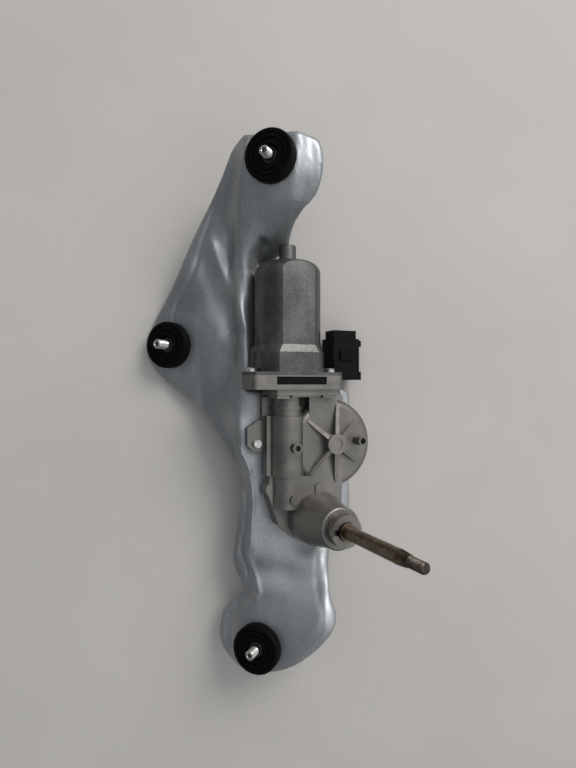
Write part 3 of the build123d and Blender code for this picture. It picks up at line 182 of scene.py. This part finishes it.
def can_zinc():
    """Drawn motor can: dull zinc with fine draw lines, small speckles and dark blots."""
    dark, light, fleck = (0.068, 0.070, 0.067), (0.105, 0.107, 0.103), (0.20, 0.202, 0.194)
    line, stain = (0.060, 0.061, 0.060), (0.05, 0.05, 0.048)
    f = Finish("can_zinc", metallic=0.9)
    cloud = f.spread(f.noise(45), 0.38, 0.66)
    speck = f.cells(1500)
    colour = f.mix(cloud, dark, light)
    colour = f.mix(f.spread(speck, 0.25, 0.95, to_high=0.3), colour, fleck)
    drawn = f.noise(500, detail=3, rough=0.5, stretch=(1.0, 0.04, 1.0))
    colour = f.mix(f.spread(drawn, 0.5, 0.72, to_high=0.3), colour, line)
    blot = f.spread(f.noise(120, detail=5, rough=0.65), 0.62, 0.72, to_high=0.4)
    colour = f.mix(blot, colour, stain)
    rough = f.spread(cloud, 0.0, 1.0, 0.32, 0.42)
    normal = f.bump(drawn, 0.05 * MM, 0.4)
    normal = f.bump(speck, 0.03 * MM, 0.25, under=normal)
    return f.done(colour, rough, normal)


def bright_zinc():
    """Plated fasteners, with a fine dark speckle painted over the plating as painted shade of the thread
    valleys.
    """
    dark, light, dirt_and_shade_colour = (0.40, 0.40, 0.385), (0.56, 0.56, 0.54), (0.05, 0.05, 0.048)
    f = Finish("bright_zinc", metallic=0.95)
    cloud = f.spread(f.noise(300), 0.35, 0.65)
    # painted shade: dark speckle about one thread pitch across stands for the shaded thread valleys, on every
    # fastener with this finish
    grime_and_painted_shade = f.spread(f.noise(700, rough=0.7), 0.5, 0.7, to_high=0.85)
    colour = f.mix(grime_and_painted_shade, f.mix(cloud, dark, light), dirt_and_shade_colour)
    rough = f.spread(cloud, 0.0, 1.0, 0.20, 0.30)
    return f.done(colour, rough, f.bump(f.noise(1800, detail=3), 0.03 * MM, 0.4))


def phosphated():
    """Dark brown-grey shaft, lightly rubbed along its length."""
    dark, light, rubbed = (0.095, 0.074, 0.050), (0.165, 0.130, 0.090), (0.27, 0.22, 0.16)
    f = Finish("phosphated", metallic=0.95)
    bands = f.noise(420, rough=0.6, stretch=(1.0, 1.0, 0.12))
    cloud = f.spread(f.noise(120), 0.35, 0.7)
    colour = f.mix(cloud, dark, light)
    colour = f.mix(f.spread(bands, 0.55, 0.75, to_high=0.6), colour, rubbed)
    rough = f.spread(bands, 0.3, 0.7, 0.24, 0.36)
    return f.done(colour, rough, f.bump(f.noise(1600, detail=3), 0.04 * MM, 0.5))


def rubber():
    """Black rubber with a dusty bloom."""
    dark, dusty = (0.0022, 0.0022, 0.0024), (0.009, 0.009, 0.0095)
    f = Finish("rubber", metallic=0.0, ior=RUBBER_IOR, gloss=BLACK_GLOSS)
    bloom = f.spread(f.noise(160, detail=5, rough=0.65), 0.5, 0.78, to_high=0.5)
    rough = f.spread(bloom, 0.0, 0.5, 0.52, 0.7)
    return f.done(f.mix(bloom, dark, dusty), rough, f.bump(f.noise(1400, detail=3), 0.05 * MM, 0.5))


def moulded_black():
    """Black glass-filled plastic."""
    dark, light = (0.0022, 0.0022, 0.0026), (0.0050, 0.0050, 0.0056)
    f = Finish("moulded_black", metallic=0.0, ior=PLASTIC_IOR, gloss=BLACK_GLOSS)
    grain = f.noise(1700, detail=3)
    cloud = f.spread(f.noise(90, detail=3), 0.35, 0.7)
    rough = f.spread(cloud, 0.0, 1.0, 0.50, 0.62)
    return f.done(f.mix(cloud, dark, light), rough, f.bump(grain, 0.04 * MM, 0.5))


def plain_metal(name, dark, light, rough):
    """A metal between two tones, for parts that are hidden or small."""
    f = Finish(name, metallic=0.9)
    cloud = f.spread(f.noise(220), 0.35, 0.65)
    varied = f.spread(cloud, 0.0, 1.0, rough, rough + 0.12)
    return f.done(f.mix(cloud, dark, light), varied, f.bump(f.noise(1500, detail=3), 0.03 * MM, 0.4))


def plain_solid(name, dark, light, rough):
    """A dull material between two tones, for parts that are hidden or small."""
    f = Finish(name, metallic=0.0)
    cloud = f.spread(f.noise(150), 0.35, 0.65)
    varied = f.spread(cloud, 0.0, 1.0, rough, rough + 0.1)
    return f.done(f.mix(cloud, dark, light), varied, f.bump(f.noise(1300, detail=3), 0.04 * MM, 0.4))


FINISHES = {
    "galvanised_sheet": sheet_steel(),
    "black_rubber": rubber(),
    "bright_zinc_steel": bright_zinc(),
    "cast_aluminium": cast_alloy(),
    "zinc_plated_can": can_zinc(),
    "ferrite": plain_solid("ferrite", (0.03, 0.03, 0.035), (0.06, 0.06, 0.065), 0.6),
    "black_plastic": moulded_black(),
    "carbon": plain_solid("carbon", (0.02, 0.02, 0.02), (0.05, 0.05, 0.05), 0.5),
    "spring_steel": plain_metal("spring_steel", (0.36, 0.36, 0.36), (0.52, 0.52, 0.51), 0.28),
    "sintered_bronze": plain_metal("sintered_bronze", (0.34, 0.20, 0.08), (0.50, 0.32, 0.14), 0.4),
    "white_nylon": plain_solid("white_nylon", (0.62, 0.59, 0.50), (0.74, 0.71, 0.63), 0.42),
    "copper": plain_metal("copper", (0.42, 0.15, 0.06), (0.60, 0.26, 0.11), 0.3),
    "tinned_brass": plain_metal("tinned_brass", (0.52, 0.46, 0.30), (0.66, 0.60, 0.42), 0.26),
    "electrical_steel": plain_metal("electrical_steel", (0.16, 0.165, 0.18), (0.26, 0.27, 0.29), 0.4),
    "phosphated_steel": phosphated(),
}

# the sleeves in the grommets are oiled and unplated, unlike the fasteners whose slot they share
UNDER_RUBBER = plain_metal("dark_steel", (0.03, 0.03, 0.032), (0.07, 0.07, 0.072), 0.5)

# bevel width in mm, its segments, and the angle in degrees from which an edge counts as sharp
SHARP_ANGLE = 35
SOFTENED = {
    "bracket": (0.4, 2, 50),
    "gear_housing": (0.35, 2, 32),
    "motor_can": (0.3, 2, SHARP_ANGLE),
    "connector_housing": (0.3, 2, SHARP_ANGLE),
    "gearbox_cover": (0.2, 1, SHARP_ANGLE),
    "housing_bolts": (0.2, 2, SHARP_ANGLE),
    "can_screws": (0.2, 2, SHARP_ANGLE),
    "output_shaft": (0.15, 1, SHARP_ANGLE),
    "mounting_studs": (0.2, 2, SHARP_ANGLE),
}


def dress_nodes():
    """Finish every node of the frame and soften the hard edges of the larger ones."""
    slots = {part["node"]: part["material_slot"] for part in RECORD["subparts"]}
    for name, piece in NODES.items():
        width, segments, angle = SOFTENED.get(name, (0, 0, SHARP_ANGLE))
        piece.data.materials.clear()
        piece.data.materials.append(UNDER_RUBBER if name == "grommet_sleeves" else FINISHES[slots[name]])
        piece.data.shade_smooth()
        piece.data.set_sharp_from_angle(angle=math.radians(angle))
        if width:
            bevel = piece.modifiers.new("soft_edges", "BEVEL")
            bevel.width = width * MM
            bevel.segments = segments
            bevel.limit_method = "ANGLE"
            bevel.angle_limit = math.radians(angle)
            bevel.harden_normals = True


dress_nodes()


# ---------------------------------------------------------------- the drawn bracket
GRID = 1.2 * MM
VOXEL = 0.8 * MM
VOXEL_SMOOTHING = 2
BRACKET_SHARP = 50
# reach of the rounding across and along the bracket, and the most it may move the sheet
EASE_ACROSS = 1.7 * MM
EASE_ALONG = 4.8 * MM
EASE_MOST = 3.0 * MM
EDGE_TURN = 1.3 * MM
EDGE_REACH = 1.7 * MM
EDGE_CURVE = 1.5
# the share of a pressed line's length over which it fades out at each end
LINE_FADE = 0.16
RAY_FROM = 0.5
NOWHERE = 1e9

# lines pressed into the sheet: height and half width in mm, then points x, y in mm; below zero is a groove
PRESSED = {
    "plate_valley": (-2.2, 6.5, [(-43.0, 108.0), (-33.0, 82.0), (-16.5, 42.0)]),
    "arm_ridge": (2.2, 3.4, [(-35.0, 114.0), (-23.5, 84.0), (-6.5, 44.0)]),
    "arm_valley": (-1.2, 3.4, [(-22.0, 122.0), (-16.5, 92.0), (-4.5, 56.0)]),
    "nose_pocket": (-3.4, 2.8, [(2.6, 108.0), (-2.5, 98.0), (-5.5, 86.0)]),
    "body_hollow": (-3.0, 8.5, [(-14.0, -101.0), (14.0, -104.0), (45.0, -110.0)]),
    "lower_step_ridge": (1.1, 1.3, [
        (-28.3, -2.0), (-16.5, -18.5), (-8.1, -36.0), (-6.0, -56.0), (-7.0, -73.0),
        (-9.5, -90.0), (-4.5, -106.0), (-2.3, -115.0), (-9.5, -126.5), (-17.5, -138.0),
    ]),
    "lower_step_groove": (-1.1, 1.5, [
        (-31.8, -4.0), (-20.5, -20.5), (-12.1, -37.0), (-10.0, -56.0), (-11.0, -73.0),
        (-13.7, -89.0), (-8.5, -107.0), (-6.3, -115.0), (-13.0, -124.0), (-21.0, -135.0),
    ]),
    "upper_step_ridge": (1.0, 1.4, [(-8.0, 166.0), (-10.2, 154.0), (-12.4, 142.5), (-18.0, 129.7)]),
    "upper_lip_groove": (-1.2, 1.7, [
        (-27.0, 134.0), (-38.0, 110.0), (-45.5, 90.0), (-57.0, 71.9), (-63.5, 60.0),
    ]),
    "right_lip_ridge": (0.35, 2.0, [
        (21.4, 164.0), (28.6, 147.0), (28.6, 132.5), (23.0, 121.0), (16.0, 104.3),
    ]),
    "lower_lip_groove": (-0.4, 1.8, [
        (34.6, -88.0), (34.2, -111.0), (37.6, -124.4), (36.0, -134.3), (22.2, -150.9),
    ]),
}


def add_piece(name, mesh, body, slot, sharp_angle):
    """An object that rides on a body and has a slot's finish."""
    piece = bpy.data.objects.new(name, mesh)
    bpy.context.scene.collection.objects.link(piece)
    mesh.shade_smooth()
    mesh.set_sharp_from_angle(angle=math.radians(sharp_angle))
    mesh.materials.clear()
    mesh.materials.append(FINISHES[slot])
    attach(piece, body)
    return piece


def top_heights(node, xs, ys):
    """Height of the node's upper skin over a grid, with nan where there is none."""
    tree = BVHTree.FromObject(node, bpy.context.evaluated_depsgraph_get())
    heights = np.full((len(ys), len(xs)), np.nan)
    for i, y in enumerate(ys):
        for j, x in enumerate(xs):
            hit = tree.ray_cast(Vector((x, y, RAY_FROM)), Vector((0, 0, -1)))[0]
            if hit is not None:
                heights[i, j] = hit.z
    return heights


def blurred(values, reach, axis):
    """Gaussian blur along one axis, reach in grid steps."""
    half = int(3 * reach) + 1
    weights = np.exp(-0.5 * (np.arange(-half, half + 1) / reach) ** 2)
    weights /= weights.sum()
    return np.apply_along_axis(lambda line: np.convolve(line, weights, mode="same"), axis, values)


def soft(values):
    """The blur in which planes are fitted: long along the bracket and short across it."""
    for axis, reach in ((0, EASE_ALONG / GRID), (1, EASE_ACROSS / GRID)):
        values = blurred(values, reach, axis)
    return values


def eased(heights, xs, ys):
    """Change of height that rounds the creases, from a plane fitted round each point."""
    known = (~np.isnan(heights)).astype(float)
    z = np.nan_to_num(heights)
    x, y = np.meshgrid(xs - xs.mean(), ys - ys.mean())
    w, wx, wy = soft(known), soft(known * x), soft(known * y)
    wxx, wxy, wyy = soft(known * x * x), soft(known * x * y), soft(known * y * y)
    wz, wxz, wyz = soft(known * z), soft(known * x * z), soft(known * y * z)
    rows = [[w, wx, wy], [wx, wxx, wxy], [wy, wxy, wyy]]
    never_singular = np.eye(3) * 1e-12
    matrix = np.stack([np.stack(row, -1) for row in rows], -2) + never_singular
    plane = np.linalg.solve(matrix, np.stack([wz, wxz, wyz], -1)[..., None])[..., 0]
    fitted = plane[..., 0] + plane[..., 1] * x + plane[..., 2] * y
    change = np.where(known > 0, np.clip(fitted - z, -EASE_MOST, EASE_MOST), 0.0)
    near = blurred(blurred(known, 1.0, 0), 1.0, 1)
    spread = blurred(blurred(change, 1.0, 0), 1.0, 1) / np.maximum(near, 1e-3)
    return np.where(known > 0, change, spread)


def pressed_lines(xs, ys):
    """Ridges and grooves pressed into the sheet, fading out at both ends."""
    x, y = np.meshgrid(xs / MM, ys / MM)
    relief = np.zeros_like(x)
    for height, half, points in PRESSED.values():
        lengths = [math.dist(a, b) for a, b in zip(points, points[1:])]
        nearest = np.full_like(x, NOWHERE)
        along = np.zeros_like(x)
        done = 0.0
        for (ax, ay), (bx, by), length in zip(points, points[1:], lengths):
            at = np.clip(((x - ax) * (bx - ax) + (y - ay) * (by - ay)) / length ** 2, 0, 1)
            off = np.hypot(x - ax - at * (bx - ax), y - ay - at * (by - ay))
            along = np.where(off < nearest, done + at * length, along)
            nearest = np.minimum(nearest, off)
            done += length
        fade = np.clip(np.minimum(along, done - along) / (LINE_FADE * done), 0, 1)
        eased_fade = fade * fade * (3 - 2 * fade)
        relief += height * MM * eased_fade * np.exp(-((nearest / half) ** 2))
    return relief


def turned_edge(heights):
    """The sheet's edge rolls down a little all the way round."""
    known = (~np.isnan(heights)).astype(float)
    reach = EDGE_REACH / GRID
    share = blurred(blurred(known, reach, 0), reach, 1)
    return -EDGE_TURN * np.clip(2 * (1 - share), 0, 1) ** EDGE_CURVE


def sampled(grid, xs, ys, px, py):
    """Values of a grid at scattered points, by bilinear interpolation."""
    fx = np.clip((px - xs[0]) / GRID, 0, len(xs) - 1.001)
    fy = np.clip((py - ys[0]) / GRID, 0, len(ys) - 1.001)
    ix = fx.astype(int)
    iy = fy.astype(int)
    tx = fx - ix
    ty = fy - iy
    near = grid[iy, ix] * (1 - tx) + grid[iy, ix + 1] * tx
    far = grid[iy + 1, ix] * (1 - tx) + grid[iy + 1, ix + 1] * tx
    return near * (1 - ty) + far * ty


def remeshed(node):
    """A fine even mesh of a node's shape."""
    copy = bpy.data.objects.new("remesh_copy", node.data.copy())
    bpy.context.scene.collection.objects.link(copy)
    fine = copy.modifiers.new("remesh", "REMESH")
    fine.mode = "VOXEL"
    fine.voxel_size = VOXEL
    even = copy.modifiers.new("even", "SMOOTH")
    even.iterations = VOXEL_SMOOTHING
    graph = bpy.context.evaluated_depsgraph_get()
    mesh = bpy.data.meshes.new_from_object(copy.evaluated_get(graph))
    bpy.data.objects.remove(copy)
    return mesh


def bracket_pressing():
    """The sheet with the soft radii, ridges and rolled edge of a real pressing."""
    low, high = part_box("bracket")
    xs = np.arange(low[0] - 2 * GRID, high[0] + 3 * GRID, GRID)
    ys = np.arange(low[1] - 2 * GRID, high[1] + 3 * GRID, GRID)
    heights = top_heights(NODES["bracket"], xs, ys)
    change = eased(heights, xs, ys) + pressed_lines(xs, ys) + turned_edge(heights)
    mesh = remeshed(NODES["bracket"])
    points = np.empty(len(mesh.vertices) * 3)
    mesh.vertices.foreach_get("co", points)
    points = points.reshape(-1, 3)
    points[:, 2] += sampled(change, xs, ys, points[:, 0], points[:, 1])
    points[:, 2] = np.maximum(points[:, 2], low[2])
    mesh.vertices.foreach_set("co", points.ravel())
    mesh.update()
    piece = add_piece("bracket_pressing", mesh, "frame", "galvanised_sheet", BRACKET_SHARP)
    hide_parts("bracket")


bracket_pressing()


# ---------------------------------------------------------------- turned and threaded bars
THREAD_PITCH = 1.25 * MM
THREAD_DEPTH = 0.70 * MM
THREAD_STEPS = 12
SERRATIONS = 24
SERRATION_DEPTH = 0.45 * MM
RING_STEP = 1.0 * MM
BAR_SHARP = 40
# how much of the thread's depth is left at its chamfered end
END_THREAD = 0.4

STUD_SIDES = 60
STUD_R = 3.0 * MM
STUD_SHANK_R = 2.65 * MM
STUD_HEAD_R = 6.5 * MM
STUD_HEAD_T = 2.2 * MM
STUD_SHANK_LENGTH = 12.6 * MM
STUD_CHAMFER = 0.6 * MM
RECESS_R = 1.2 * MM
RECESS_DEPTH = 4.0 * MM
RECESS_CHAMFER = 0.3 * MM

SHAFT_SIDES = 240
SHAFT_MOUNT_Z = 80.0 * MM
SHAFT_FOOT_R = 3.0 * MM
SHAFT_R = 4.0 * MM
SHAFT_STEP_Z = 2.1 * MM
CLIP_GROOVE_R = 3.6 * MM
CLIP_GROOVE_LOW = 54.0 * MM
CLIP_GROOVE_HIGH = 55.2 * MM
TAPER_Z = 105.5 * MM
TAPER_LEAD = 0.4 * MM
TAPER_TOP_Z = 113.0 * MM
TAPER_TOP_R = 3.4 * MM
TAPER_RINGS = 9
THREAD_LEAD = 0.2 * MM
THREAD_OVERLAP = 1.0 * MM
SHAFT_TIP_Z = 126.0 * MM


def axis_place(origin, axis):
    """A frame with z along an axis."""
    turn = Vector((0, 0, 1)).rotation_difference(Vector(axis))
    return Matrix.Translation(Vector(origin)) @ turn.to_matrix().to_4x4()


def mount(name):
    """Middle, direction and length of a pin mount."""
    found = [m for m in RECORD["mounts"] if m["name"] == name][0]
    return Vector(found["pos_m"]), Vector(found["axis"]).normalized(), found["dims"]["length_mm"] * MM


def straight(radius, low, high):
    """Rings of a plain cylinder: radius, height, thread share, serration share."""
    count = max(2, int((high - low) / RING_STEP) + 1)
    return [(radius, z, 0, 0) for z in np.linspace(low, high, count)]


def threaded(radius, low, high, chamfer):
    """Rings of a threaded stretch, run out at its foot and chamfered at its top."""
    rings = []
    for z in np.arange(low, high, THREAD_PITCH / THREAD_STEPS):
        worn = max(0.0, z - (high - chamfer))
        rings.append((radius - worn, z, min(1.0, (z - low) / THREAD_PITCH), 0))
    rings.append((radius - chamfer, high, END_THREAD, 0))
    return rings


def bar_points(rings, around, first):
    """Points of a turned bar and its faces, counted on from first."""
    angles = np.linspace(0, 2 * math.pi, around, endpoint=False)
    r, z, thread, teeth = (np.array(column)[:, None] for column in zip(*rings))
    turn = z / THREAD_PITCH - angles / (2 * math.pi)
    vee = 1 - 2 * np.abs(turn - np.floor(turn) - 0.5)
    tooth = 0.5 + 0.5 * np.cos(SERRATIONS * angles)
    radius = r - THREAD_DEPTH * thread * vee - SERRATION_DEPTH * teeth * tooth
    height = np.broadcast_to(z, radius.shape)
    points = np.stack([radius * np.cos(angles), radius * np.sin(angles), height], -1).reshape(-1, 3)
    foot, tip = first + len(points), first + len(points) + 1
    points = np.vstack([points, [(0, 0, rings[0][1])], [(0, 0, rings[-1][1])]])
    faces = []
    for j in range(around):
        k = (j + 1) % around
        faces.append((foot, first + k, first + j))
        for i in range(len(rings) - 1):
            under = first + i * around
            faces.append((under + j, under + k, under + around + k, under + around + j))
        last = first + (len(rings) - 1) * around
        faces.append((tip, last + j, last + k))
    return points, faces


def bars(name, places, around, node, body, slot):
    """One mesh of turned bars that stands for a node."""
    points, faces = [], []
    for place, rings in places:
        local, more = bar_points(rings, around, len(points))
        points += [tuple(place @ Vector(p)) for p in local]
        faces += more
    mesh = bpy.data.meshes.new(name)
    mesh.from_pydata(points, [], faces)
    mesh.update()
    piece = add_piece(name, mesh, body, slot, BAR_SHARP)
    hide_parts(node)
    return piece


def threaded_studs():
    places = []
    for side in ("upper", "left", "lower"):
        middle, axis, length = mount("stud_" + side)
        foot = middle - axis * (length / 2 + STUD_SHANK_LENGTH)
        top = STUD_SHANK_LENGTH + length + STUD_CHAMFER
        rings = straight(STUD_HEAD_R, -STUD_HEAD_T, 0)
        rings += straight(STUD_SHANK_R, 0, STUD_SHANK_LENGTH)
        rings += threaded(STUD_R, STUD_SHANK_LENGTH, top, STUD_CHAMFER)
        rings += [(RECESS_R + RECESS_CHAMFER, top, 0, 0)]
        rings += straight(RECESS_R, top - RECESS_CHAMFER, top - RECESS_DEPTH)
        places.append((axis_place(foot, axis), rings))
    bars("threaded_studs", places, STUD_SIDES, "mounting_studs", "frame", "bright_zinc_steel")


def wiper_shaft():
    """The plain bar with its serrated taper, and the darker threaded tip, both for the one node."""
    at, axis, _ = mount("output_shaft")
    place = axis_place(at - axis * SHAFT_MOUNT_Z, axis)
    rings = straight(SHAFT_FOOT_R, 0, SHAFT_STEP_Z) + straight(SHAFT_R, SHAFT_STEP_Z, CLIP_GROOVE_LOW)
    rings += straight(CLIP_GROOVE_R, CLIP_GROOVE_LOW, CLIP_GROOVE_HIGH)
    rings += straight(SHAFT_R, CLIP_GROOVE_HIGH, TAPER_Z - TAPER_LEAD)
    for share in np.linspace(0, 1, TAPER_RINGS):
        radius = SHAFT_R + (TAPER_TOP_R - SHAFT_R) * share
        rings.append((radius, TAPER_Z + (TAPER_TOP_Z - TAPER_Z) * share, 0, 1))
    bars("wiper_shaft", [(place, rings)], SHAFT_SIDES, "output_shaft", "output", "phosphated_steel")
    rings = straight(SHAFT_FOOT_R - THREAD_DEPTH, TAPER_TOP_Z - THREAD_OVERLAP, TAPER_TOP_Z)
    rings += threaded(SHAFT_FOOT_R, TAPER_TOP_Z + THREAD_LEAD, SHAFT_TIP_Z, STUD_CHAMFER)
    tip = bars("wiper_shaft_thread", [(place, rings)], SHAFT_SIDES, "output_shaft", "output", "phosphated_steel")
    tip.data.materials[0] = plain_metal("thread_steel", (0.045, 0.038, 0.032), (0.11, 0.093, 0.078), 0.30)


threaded_studs()
wiper_shaft()


# ---------------------------------------------------------------- bench, light and camera
BENCH_SIZE = 6.0
BENCH_Z = -0.6 * MM
BENCH_ROUGHNESS = 0.7
WINDOW_AT = Vector((1.0, 1.15, 1.25))
WINDOW_FACES = Vector((0, 0, 0.02))
WINDOW_WIDTH = 1.0
WINDOW_WATTS = 23.0
WINDOW_TINT = (1.0, 0.985, 0.965)
# the room's brightness by how far a direction lies towards its bright side
BRIGHT_SIDE = (0.80, 0.30, 0.52)
DARK_AT, BRIGHT_AT = -0.2, 0.95
DARK_LEVEL, BRIGHT_LEVEL = 0.22, 0.95
ROOM_TINT = (0.98, 0.985, 1.0, 1.0)
CAMERA_AT = Vector((0.01603, 0.01775, 0.4052))
SENSOR_HEIGHT = 36.0
FOCAL_PIXELS = 590
PICTURE_HEIGHT = 768
NEAR_CLIP = 10 * MM


def bench():
    """A plain pale bench top just under the part."""
    low, high, worn = (0.455, 0.44, 0.42), (0.49, 0.475, 0.455), (0.40, 0.385, 0.365)
    bpy.ops.mesh.primitive_plane_add(size=BENCH_SIZE, location=(0, 0, BENCH_Z))
    floor = bpy.context.object
    floor.name = "bench"
    f = Finish("bench", metallic=0.0)
    cloud = f.spread(f.noise(6, detail=3), 0.3, 0.7)
    grain = f.noise(380, rough=0.6)
    colour = f.mix(cloud, low, high)
    colour = f.mix(f.spread(grain, 0.4, 0.7, to_high=0.2), colour, worn)
    floor.data.materials.append(f.done(colour, BENCH_ROUGHNESS, f.bump(grain, 0.12 * MM, 0.3)))


def window():
    """One broad soft lamp from the upper right."""
    data = bpy.data.lights.new("window", "AREA")
    data.shape = "DISK"
    data.size = WINDOW_WIDTH
    data.energy = WINDOW_WATTS
    data.color = WINDOW_TINT
    lamp = bpy.data.objects.new("window", data)
    lamp.location = WINDOW_AT
    lamp.rotation_euler = (WINDOW_FACES - WINDOW_AT).to_track_quat("-Z", "Y").to_euler()
    bpy.context.scene.collection.objects.link(lamp)


def room():
    """A dim room that is brighter towards the window's side."""
    world = bpy.data.worlds.new("room")
    world.use_nodes = True
    tree = world.node_tree
    place = tree.nodes.new("ShaderNodeTexCoord")
    toward = tree.nodes.new("ShaderNodeVectorMath")
    toward.operation = "DOT_PRODUCT"
    toward.inputs[1].default_value = BRIGHT_SIDE
    level = tree.nodes.new("ShaderNodeMapRange")
    level.interpolation_type = "SMOOTHSTEP"
    level.inputs["From Min"].default_value = DARK_AT
    level.inputs["From Max"].default_value = BRIGHT_AT
    level.inputs["To Min"].default_value = DARK_LEVEL
    level.inputs["To Max"].default_value = BRIGHT_LEVEL
    back = tree.nodes["Background"]
    back.inputs["Color"].default_value = ROOM_TINT
    tree.links.new(place.outputs["Generated"], toward.inputs[0])
    tree.links.new(toward.outputs["Value"], level.inputs["Value"])
    tree.links.new(level.outputs["Result"], back.inputs["Strength"])
    bpy.context.scene.world = world


def camera_above():
    """The camera straight above the bench, with the photograph's field of view."""
    view = bpy.data.cameras.new("camera")
    view.sensor_fit = "VERTICAL"
    view.sensor_height = SENSOR_HEIGHT
    view.lens = SENSOR_HEIGHT * FOCAL_PIXELS / PICTURE_HEIGHT
    view.clip_start = NEAR_CLIP
    camera = bpy.data.objects.new("camera", view)
    camera.location = CAMERA_AT
    bpy.context.scene.collection.objects.link(camera)
    bpy.context.scene.camera = camera


bench()
window()
room()
camera_above()
bpy.context.scene.view_settings.view_transform = "Standard"
